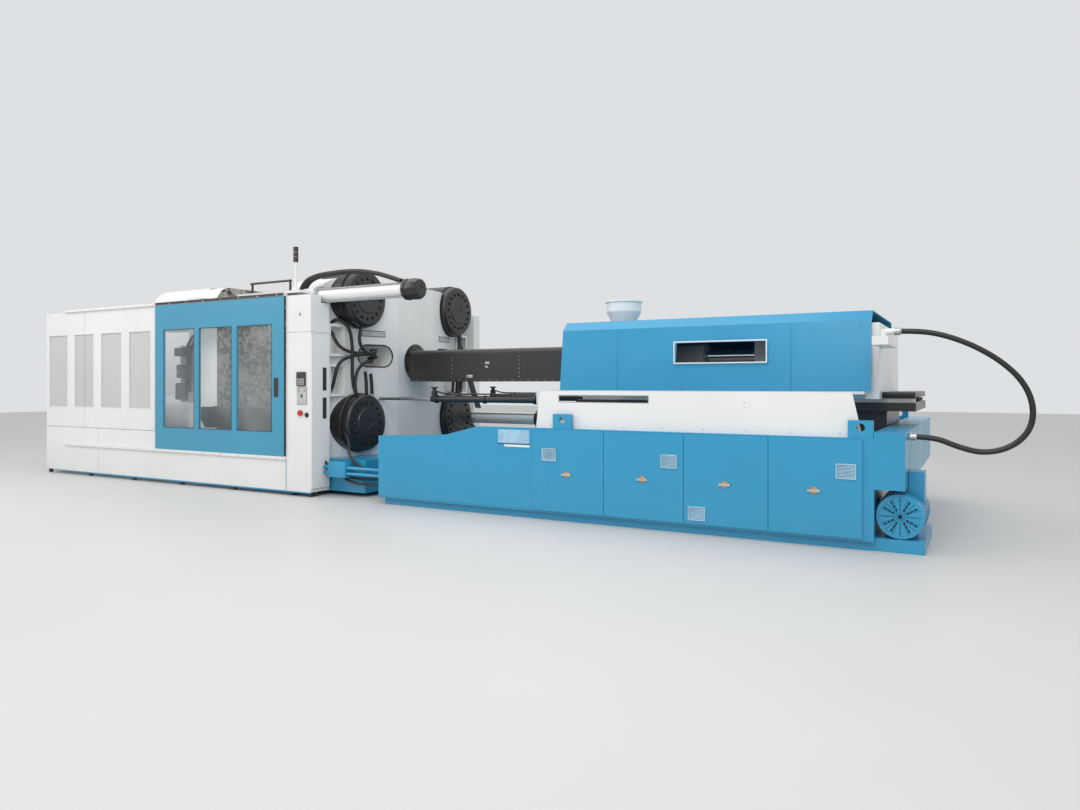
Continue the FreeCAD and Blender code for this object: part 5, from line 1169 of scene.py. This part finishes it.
# ---------------------------------------------------------------- injection unit cover and hopper
class MACHINE_OT_cover_trim(FittingOperator, Operator):
    """Window edging, screws and panel joints of the unit cover"""
    bl_idname = "machine.cover_trim"
    bl_label = "Cover trim"

    def build(self, sizes):
        face = -COVER_HALF
        for side, name in ((-1, "near"), (1, "far")):
            edge = bmesh.new()
            plane = side * COVER_HALF
            depth = sorted((plane - side * 0.002, plane + side * 0.006))
            frame_strip(edge, (4.450, 0, 1.855), (5.525, 0, 2.092), 0.016, "Y", depth)
            from_bm(f"cover_window_edge_{name}", edge, "white", "carriage")
            joint = bmesh.new()
            thin = sorted((plane - side * 0.001, plane + side * 0.0012))
            for x in (3.70, 5.80):
                block(joint, (x, thin[0], 1.53), (x + 0.003, thin[1], 2.28), 0.0004, 1)
            from_bm(f"cover_joints_{name}", joint, "dark_joint_and_shade_blue", "carriage")
        screw = bmesh.new()
        turned(screw, (0, 0, 0), "-Y", [(0, 0), (0, 0.010), (0.003, 0.010), (0.005, 0.006), (0.005, 0)], 14)
        rows = [{"Count": 8, "Start": (3.05, face, z), "Step": (0.495, 0, 0)} for z in (1.545, 2.262)]
        piece("cover_screws", repeated(screw, "blue", rows), "blue", "carriage")


class MACHINE_OT_hopper_trim(FittingOperator, Operator):
    """Rolled rim, flange and flange bolts of the material hopper"""
    bl_idname = "machine.hopper_trim"
    bl_label = "Hopper trim"

    def build(self, sizes):
        low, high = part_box("hopper")
        middle, brim = (low.x + high.x) / 2, high.y
        rim = bmesh.new()
        turned(rim, (middle, 0, high.z - 0.024), "Z",
               [(0, brim - 0.0005), (0, brim + 0.014), (0.004, brim + 0.018),
                                                       (0.018, brim + 0.018), (0.022, brim + 0.014),
                                                       (0.022, brim - 0.0005)], 72)
        from_bm("hopper_rim", rim, "white", "carriage")
        foot = bmesh.new()
        turned(foot, (middle, 0, low.z - 0.001), "Z", [(0, 0.148), (0, 0.232), (0.013, 0.232), (0.015, 0.230),
                                                       (0.015, 0.148)], 56)
        from_bm("hopper_flange", foot, "white", "carriage")
        rows = [{"Count": 8, "Start": (middle, 0, low.z + 0.013), "Turn": (0, 0, 0), "Radius": 0.20,
                 "Step": (0, 0, 0)}]
        piece("hopper_flange_bolts", repeated(hex_bolt(0.013, 0.014, "Z"), "zinc", rows), "zinc", "carriage")


class MACHINE_OT_screen_fixings(FittingOperator, Operator):
    """Screws of the white side screens, and a dark rim painted round the slot as the shade of its inner walls
    """
    bl_idname = "machine.screen_fixings"
    bl_label = "Screen fixings"

    def build(self, sizes):
        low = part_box("side_screens")[0]
        screw = bmesh.new()
        turned(screw, (0, 0, 0), "-Y", [(0, 0), (0, 0.008), (0.003, 0.008), (0.0045, 0.005), (0.0045, 0)], 14)
        rows = [{"Count": 8, "Start": (3.22, low.y, 1.12), "Step": (0.46, 0, 0)},
                {"Count": 2, "Start": (5.50, low.y, 1.36), "Step": (0, 0, 0.045)}]
        piece("screen_screws", repeated(screw, "zinc", rows), "zinc", FRAME_BODY)
        for side, name in ((-1, "near"), (1, "far")):
            # A dark rim round the slot, painted as the shade of the slot's inner walls.
            slot_shade = bmesh.new()
            plane = side * 2.030
            depth = sorted((plane, plane + side * 0.002))
            frame_strip(slot_shade, (3.323, 0, 1.392), (4.437, 0, 1.467), 0.007, "Y", depth, 0.0008)
            from_bm(f"screen_slot_edge_{name}", slot_shade, "dark_joint_and_shade_white", FRAME_BODY)


# ---------------------------------------------------------------- injection base
VENTS = [(1, 3.150, 0.699), (2, 4.620, 0.690), (3, 4.929, 0.154), (4, 6.413, 0.680)]


class MACHINE_OT_base_vents(FittingOperator, Operator):
    """Louvred vent grilles on the base's doors"""
    bl_idname = "machine.base_vents"
    bl_label = "Base vents"

    def build(self, sizes):
        side = sizes.vent
        for number, x, z in VENTS:
            frame_bm = bmesh.new()
            face = BASE_DOOR_FACE
            frame_strip(frame_bm, (x + 0.014, 0, z + 0.014), (x + side - 0.014, 0, z + 0.150 - 0.014), 0.014,
                        "Y",
                        (face - 0.012, face + 0.001), 0.003)
            from_bm(f"base_vent_frame_{number}", frame_bm, "vent", f"base_door_{number}")
            slat = bmesh.new()
            wide = side - 0.032
            block(slat, (0, -0.0012, -0.006), (wide, 0.0012, 0.006), 0.0008)
            bmesh.ops.rotate(slat, cent=(0, 0, 0), matrix=Matrix.Rotation(math.radians(-38), 3, "X"),
                             verts=slat.verts)
            rows = [{"Count": sizes.slat_count, "Start": (x + 0.016, face - 0.006, z + 0.022),
                     "Step": (0, 0, 0.0132)}]
            piece(f"base_vent_slats_{number}", repeated(slat, "vent", rows), "vent", f"base_door_{number}")
            back = bmesh.new()
            block(back, (x + 0.014, face - 0.0015, z + 0.014), (x + side - 0.014, face + 0.001, z + 0.136),
                  0.0004, 1)
            from_bm(f"base_vent_back_{number}", back, "gasket", f"base_door_{number}")


class MACHINE_OT_base_latches(FittingOperator, Operator):
    """Bezels and key slots of the latches, and the seals behind the base's doors"""
    bl_idname = "machine.base_latches"
    bl_label = "Base latches"

    def build(self, sizes):
        for number in range(1, 5):
            low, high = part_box(f"door_latch_{number}")
            x, z = (low.x + high.x) / 2, (low.z + high.z) / 2
            bezel = bmesh.new()
            turned(bezel, (x, BASE_DOOR_FACE + 0.0005, z), "-Y",
                   [(0, 0.0205), (0, 0.036), (0.004, 0.036), (0.007, 0.032),
                                                                 (0.007, 0.0205)], 32)
            from_bm(f"base_latch_bezel_{number}", bezel, "amber", f"base_door_{number}")
            barrel = bmesh.new()
            turned(barrel, (x, low.y + 0.0005, z), "-Y", [(0, 0), (0, 0.009), (0.0035, 0.008), (0.0035, 0)],
                   24)
            block(barrel, (x - 0.0012, low.y - 0.0042, z - 0.006), (x + 0.0012, low.y - 0.001, z + 0.006),
                  0.0004, 1)
            from_bm(f"base_latch_key_{number}", barrel, "zinc", f"door_latch_{number}")
            door_low, door_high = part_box(f"base_door_{number}")
            seal = bmesh.new()
            frame_strip(seal, (door_low.x + 0.03, 0, door_low.z + 0.03),
                        (door_high.x - 0.03, 0, door_high.z - 0.03), 0.012,
                        "Y", (BASE_DOOR_FACE + 0.003, BASE_DOOR_FACE + 0.008))
            from_bm(f"base_door_seal_{number}", seal, "gasket", f"base_door_{number}")


class MACHINE_OT_base_trim(FittingOperator, Operator):
    """Side joints, deck pocket with a painted shadow strip along its lower edge, lug label, slideway end
    strip and screws of the injection base
    """
    bl_idname = "machine.base_trim"
    bl_label = "Base trim"

    def build(self, sizes):
        joints = bmesh.new()
        for side in (-1, 1):
            face = side * 2.108
            thin = sorted((face - side * 0.001, face + side * 0.0015))
            for x in (1.45, 2.25):
                block(joints, (x, thin[0], 0.12), (x + 0.005, thin[1], 0.91), 0.0004, 1)
        from_bm("base_joints", joints, "dark_joint_and_shade_blue", FRAME_BODY)
        pocket = bmesh.new()
        block(pocket, (2.530, -2.1165, 0.890), (2.968, -2.1135, 1.050), 0.001, 1)
        from_bm("deck_pocket_panel", pocket, "vent", FRAME_BODY)
        sill = bmesh.new()
        block(sill, (2.620, -2.1200, 0.845), (2.974, -2.1135, 0.872), 0.002)
        from_bm("deck_pocket_sill", sill, "white", FRAME_BODY)
        # A dark strip painted along the pocket's lower edge as the shadow of its recess, and a dark panel
        # joint beside the pocket.
        shadow_and_joint = bmesh.new()
        block(shadow_and_joint, (2.524, -2.1160, 0.872), (2.974, -2.1135, 0.888), 0.001, 1)
        block(shadow_and_joint, (2.9995, -2.1155, 0.125), (3.0045, -2.1135, 1.07), 0.001, 1)
        from_bm("deck_pocket_gap", shadow_and_joint, "dark_joint_and_shade_blue", FRAME_BODY)
        label = bmesh.new()
        block(label, (3.345, -2.0815, 1.115), (3.455, -2.0795, 1.175), 0.0006, 1)
        from_bm("lug_label", label, "plate", FRAME_BODY)
        strip = bmesh.new()
        block(strip, (6.98, -0.84, 1.3955), (7.033, 0.84, 1.399), 0.001, 1)
        from_bm("slideway_end_strip", strip, "zinc", FRAME_BODY)
        screw = bmesh.new()
        turned(screw, (0, 0, 0), "-Y", [(0, 0), (0, 0.009), (0.003, 0.009), (0.005, 0.006), (0.005, 0)], 14)
        rows = [{"Count": 6, "Start": (0.95, -2.1085, z), "Step": (0.38, 0, 0)} for z in (0.155, 0.875)]
        piece("base_panel_screws", repeated(screw, "zinc", rows), "zinc", FRAME_BODY)


class MACHINE_OT_pump_motor(FittingOperator, Operator):
    """Cooling fins and fan grille of the pump motor"""
    bl_idname = "machine.pump_motor"
    bl_label = "Pump motor"

    def build(self, sizes):
        x, z, radius = MOTOR_X, MOTOR_Z, MOTOR_RADIUS
        fin = bmesh.new()
        block(fin, (radius - 0.004, 0, -0.003), (radius + 0.012, 0.56, 0.003), 0.001, 1)
        joined = bmesh.new()
        for i in range(28):
            angle = math.radians(-30 + 240 * i / 27)
            copy = fin.copy()
            matrix = Matrix.Translation((x, -1.88, z)) @ Matrix.Rotation(-angle, 4, "Y")
            bmesh.ops.transform(copy, matrix=matrix, verts=copy.verts)
            mesh = bpy.data.meshes.new("fin")
            copy.to_mesh(mesh)
            copy.free()
            joined.from_mesh(mesh)
            bpy.data.meshes.remove(mesh)
        fin.free()
        from_bm("motor_fins", joined, "blue", FRAME_BODY)
        grille = bmesh.new()
        for ring_radius in (0.05, 0.09, 0.13, 0.17):
            turned(grille, (x, -2.0065, z), "-Y", [(0, ring_radius - 0.004), (0, ring_radius + 0.004),
                                                  (0.003, ring_radius + 0.003), (0.003,
                                                                                 ring_radius - 0.003)], 48)
        for i in range(8):
            angle = math.pi / 8 * i
            bar = bmesh.new()
            block(bar, (-0.185, -0.0015, -0.003), (0.185, 0.0015, 0.003), 0.001, 1)
            bmesh.ops.transform(bar,
                                matrix=Matrix.Translation((x, -2.0085, z)) @ Matrix.Rotation(angle, 4, "Y"),
                                verts=bar.verts)
            mesh = bpy.data.meshes.new("bar")
            bar.to_mesh(mesh)
            bar.free()
            grille.from_mesh(mesh)
            bpy.data.meshes.remove(mesh)
        from_bm("motor_fan_grille", grille, "blue", FRAME_BODY)


# ---------------------------------------------------------------- clamp details
class MACHINE_OT_tie_bar_teeth(FittingOperator, Operator):
    """Low locking teeth on the clamp ends of the tie bars"""
    bl_idname = "machine.tie_bar_teeth"
    bl_label = "Tie-bar teeth"

    def build(self, sizes):
        tooth = bmesh.new()
        turned(tooth, (0, 0, 0), "X", [(0, 0.1446), (0.003, 0.1456), (0.012, 0.1456), (0.015, 0.1446)], 64)
        rows = [{"Count": 42, "Start": (-5.16, y, z), "Step": (0.024, 0, 0)} for y, z in BAR_PLACES]
        piece("tie_bar_teeth", repeated(tooth, "ground", rows), "ground", "tie_bars")


class MACHINE_OT_core_pull_block(FittingOperator, Operator):
    """Core-pull valve blocks and hoses on both sides of the moving platen"""
    bl_idname = "machine.core_pull_block"
    bl_label = "Core-pull blocks"

    def build(self, sizes):
        for side, name in ((-1, "near"), (1, "far")):
            face = side * 1.70
            bracket = bmesh.new()
            y = sorted((face - side * 0.001, face + side * 0.011))
            block(bracket, (-4.00, y[0], 1.30), (-3.62, y[1], 2.24), 0.003)
            from_bm(f"core_pull_bracket_{name}", bracket, "grey", "moving_platen")
            blocks = bmesh.new()
            for low, high, deep in ((1.34, 1.62, 0.12), (1.70, 1.92, 0.10), (2.06, 2.20, 0.14)):
                y = sorted((face - side * 0.001, face + side * deep))
                block(blocks, (-3.98, y[0], low), (-3.80, y[1], high), 0.006)
                for z in (low + 0.05, high - 0.05):
                    turned(blocks, (-3.89, face + side * deep, z), "Y" if side > 0 else "-Y",
                           [(0, 0), (0, 0.026), (0.05, 0.026), (0.055, 0.018), (0.055, 0)], 20)
            from_bm(f"core_pull_valves_{name}", blocks, "keypad", "moving_platen")
            for number, (shift, top) in enumerate(((0.0, 2.34), (0.05, 2.40), (0.10, 2.30)), 1):
                route = [(-3.82 + shift, face + side * 0.03, 1.48), (-3.74 + shift, face + side * 0.10, 1.60),
                         (-3.68 + shift, face + side * 0.12, 1.85), (-3.72 + shift, face + side * 0.10, 2.12),
                         (-3.76 + shift, face + side * 0.06, top - 0.06), (-3.74 + shift, face - side * 0.01,
                                                                           top)]
                piece(f"core_pull_hose_{name}_{number}", hose_mesh("core_pull", route, 0.014), "rubber",
                      "moving_platen")


class MACHINE_OT_platen_tapped_rims(FittingOperator, Operator):
    """Rims round the holes of the bolt grid on both mould faces"""
    bl_idname = "machine.platen_tapped_rims"
    bl_label = "Mould-face rims"

    def build(self, sizes):
        ring = bmesh.new()
        turned(ring, (0, 0, 0), "X", [(-0.001, 0.0205), (-0.001, 0.030), (0.002, 0.028), (0.002, 0.0205)], 24)
        for name, x, body in (("fixed", -1.401, FRAME_BODY), ("moving", -3.101, "moving_platen")):
            rows = [{"Count": 4, "Start": (x, -0.84, AXIS_HEIGHT - 1.05 + i * 0.35), "Step": (0, 0.56, 0)}
                    for i in (0, 1, 2, 4, 5, 6)]
            piece(f"{name}_mould_bolt_rims", repeated(ring.copy(), "ground", rows), "ground", body)
        ring.free()


class MACHINE_OT_top_cover_trim(FittingOperator, Operator):
    """Handrail collars, lamp rings and the joint of the top cover"""
    bl_idname = "machine.top_cover_trim"
    bl_label = "Top cover trim"

    def build(self, sizes):
        collars = bmesh.new()
        for x in (-1.918 + 0.017, -1.074 - 0.017):
            turned(collars, (x, -2.03, 2.9462), "Z",
                   [(0, 0.0175), (0, 0.034), (0.006, 0.034), (0.012, 0.024), (0.012, 0.0175)], 24)
        from_bm("handrail_collars", collars, "black", FRAME_BODY)
        rings = bmesh.new()
        for z in (3.44, 3.51):
            turned(rings, (-1.012, -2.0, z), "Z",
                   [(0, 0.0362), (0, 0.0375), (0.003, 0.0375), (0.003, 0.0362)], 40)
        from_bm("lamp_rings", rings, "zinc", FRAME_BODY)
        joint = bmesh.new()
        block(joint, (-2.09, -2.1315, 2.940), (-0.817, -2.129, 2.943), 0.0004, 1)
        from_bm("top_cover_joint", joint, "dark_joint_and_shade_white", FRAME_BODY)


# ---------------------------------------------------------------- studio
def stage_object(name, data):
    obj = bpy.data.objects.new(name, data)
    bpy.context.scene.collection.objects.link(obj)
    return obj


class MACHINE_OT_studio(FittingOperator, Operator):
    """Floor, lights and camera"""
    bl_idname = "machine.studio"
    bl_label = "Studio"

    def build(self, sizes):
        settings = bpy.context.scene.machine_studio
        self.floor()
        self.lamp("key", (6.0, -9.0, 8.5), (0.5, 0, 1.2), 7.0, settings.key)
        self.lamp("fill", (-7.0, -8.0, 7.0), (-2.0, 0, 1.5), 6.0, settings.key * 0.55)
        self.lamp("top", (0.0, 0.0, 9.5), (0, 0, 0), 10.0, settings.key * 0.6)
        self.sky()
        camera = bpy.data.cameras.new("camera")
        camera.lens = settings.lens
        camera.sensor_width = 36
        camera.shift_y = settings.rise
        camera.clip_end = 200
        holder = stage_object("camera", camera)
        holder.location = settings.eye
        holder.rotation_euler = (math.pi / 2, 0, settings.turn)
        bpy.context.scene.camera = holder
        bpy.context.scene.view_settings.view_transform = "Standard"

    def floor(self):
        bm = bmesh.new()
        block(bm, (-40, -40, -0.05), (40, 40, 0), 0.001, 1)
        mesh = bpy.data.meshes.new("studio_floor")
        bm.to_mesh(mesh)
        bm.free()
        material, tree, shader, place = new_material("studio_floor")
        tree.links.new(mixed(tree, noise(tree, place, 0.4), (0.60, 0.59, 0.57, 1), (0.66, 0.65, 0.63, 1)),
                       shader.inputs["Base Color"])
        shader.inputs["Roughness"].default_value = 0.5
        mesh.materials.append(material)
        stage_object("studio_floor", mesh)

    def lamp(self, name, place, target, size, power):
        light = bpy.data.lights.new(name, "AREA")
        light.shape = "SQUARE"
        light.size = size
        light.energy = power
        holder = stage_object(name, light)
        holder.location = place
        holder.rotation_euler = (Vector(target) - Vector(place)).to_track_quat("-Z", "Y").to_euler()

    def sky(self):
        world = bpy.data.worlds.new("studio")
        world.use_nodes = True
        background = world.node_tree.nodes["Background"]
        background.inputs["Color"].default_value = (0.86, 0.88, 0.90, 1)
        background.inputs["Strength"].default_value = 0.85
        bpy.context.scene.world = world


# ---------------------------------------------------------------- add-on
OPERATORS = (
    MACHINE_OT_paint_frame, MACHINE_OT_hose_loop, MACHINE_OT_guard_panels, MACHINE_OT_guard_folds,
    MACHINE_OT_sliding_doors, MACHINE_OT_door_rails, MACHINE_OT_column_fittings,
    MACHINE_OT_cylinder_covers, MACHINE_OT_platen_hoses, MACHINE_OT_platen_plate, MACHINE_OT_hose_arch,
    MACHINE_OT_bed_pipework, MACHINE_OT_shroud_fittings, MACHINE_OT_drool_strap, MACHINE_OT_way_cover,
    MACHINE_OT_heater_clamps, MACHINE_OT_carriage_cylinders, MACHINE_OT_cover_trim,
    MACHINE_OT_hopper_trim, MACHINE_OT_screen_fixings, MACHINE_OT_base_vents, MACHINE_OT_base_latches,
    MACHINE_OT_base_trim, MACHINE_OT_pump_motor, MACHINE_OT_tie_bar_teeth, MACHINE_OT_core_pull_block,
    MACHINE_OT_platen_tapped_rims, MACHINE_OT_top_cover_trim, MACHINE_OT_studio,
)
SETTINGS = (("machine_paints", MachinePaints), ("fitting_sizes", FittingSizes),
            ("machine_studio", StudioSettings))


class MACHINE_PT_finish(Panel):
    """Settings of the machine's finish and fittings, and a button for each group"""
    bl_idname = "MACHINE_PT_finish"
    bl_label = "Machine finish"
    bl_space_type = "VIEW_3D"
    bl_region_type = "UI"
    bl_category = "Machine"

    def draw(self, context):
        for attribute, group in SETTINGS:
            column = self.layout.column(heading=group.__name__)
            for name in group.__annotations__:
                column.prop(getattr(context.scene, attribute), name)
        for operator in OPERATORS:
            self.layout.operator(operator.bl_idname)


def register():
    for attribute, group in SETTINGS:
        bpy.utils.register_class(group)
        setattr(bpy.types.Scene, attribute, PointerProperty(type=group))
    for cls in (*OPERATORS, MACHINE_PT_finish):
        bpy.utils.register_class(cls)


def unregister():
    for cls in (MACHINE_PT_finish, *reversed(OPERATORS)):
        bpy.utils.unregister_class(cls)
    for attribute, group in reversed(SETTINGS):
        delattr(bpy.types.Scene, attribute)
        bpy.utils.unregister_class(group)


def corners(box):
    return [[float(v) for v in corner] for corner in box]


def main():
    register()
    for operator in OPERATORS:
        getattr(bpy.ops.machine, operator.bl_idname.split(".")[1])()


if __name__ == "__main__":
    main()
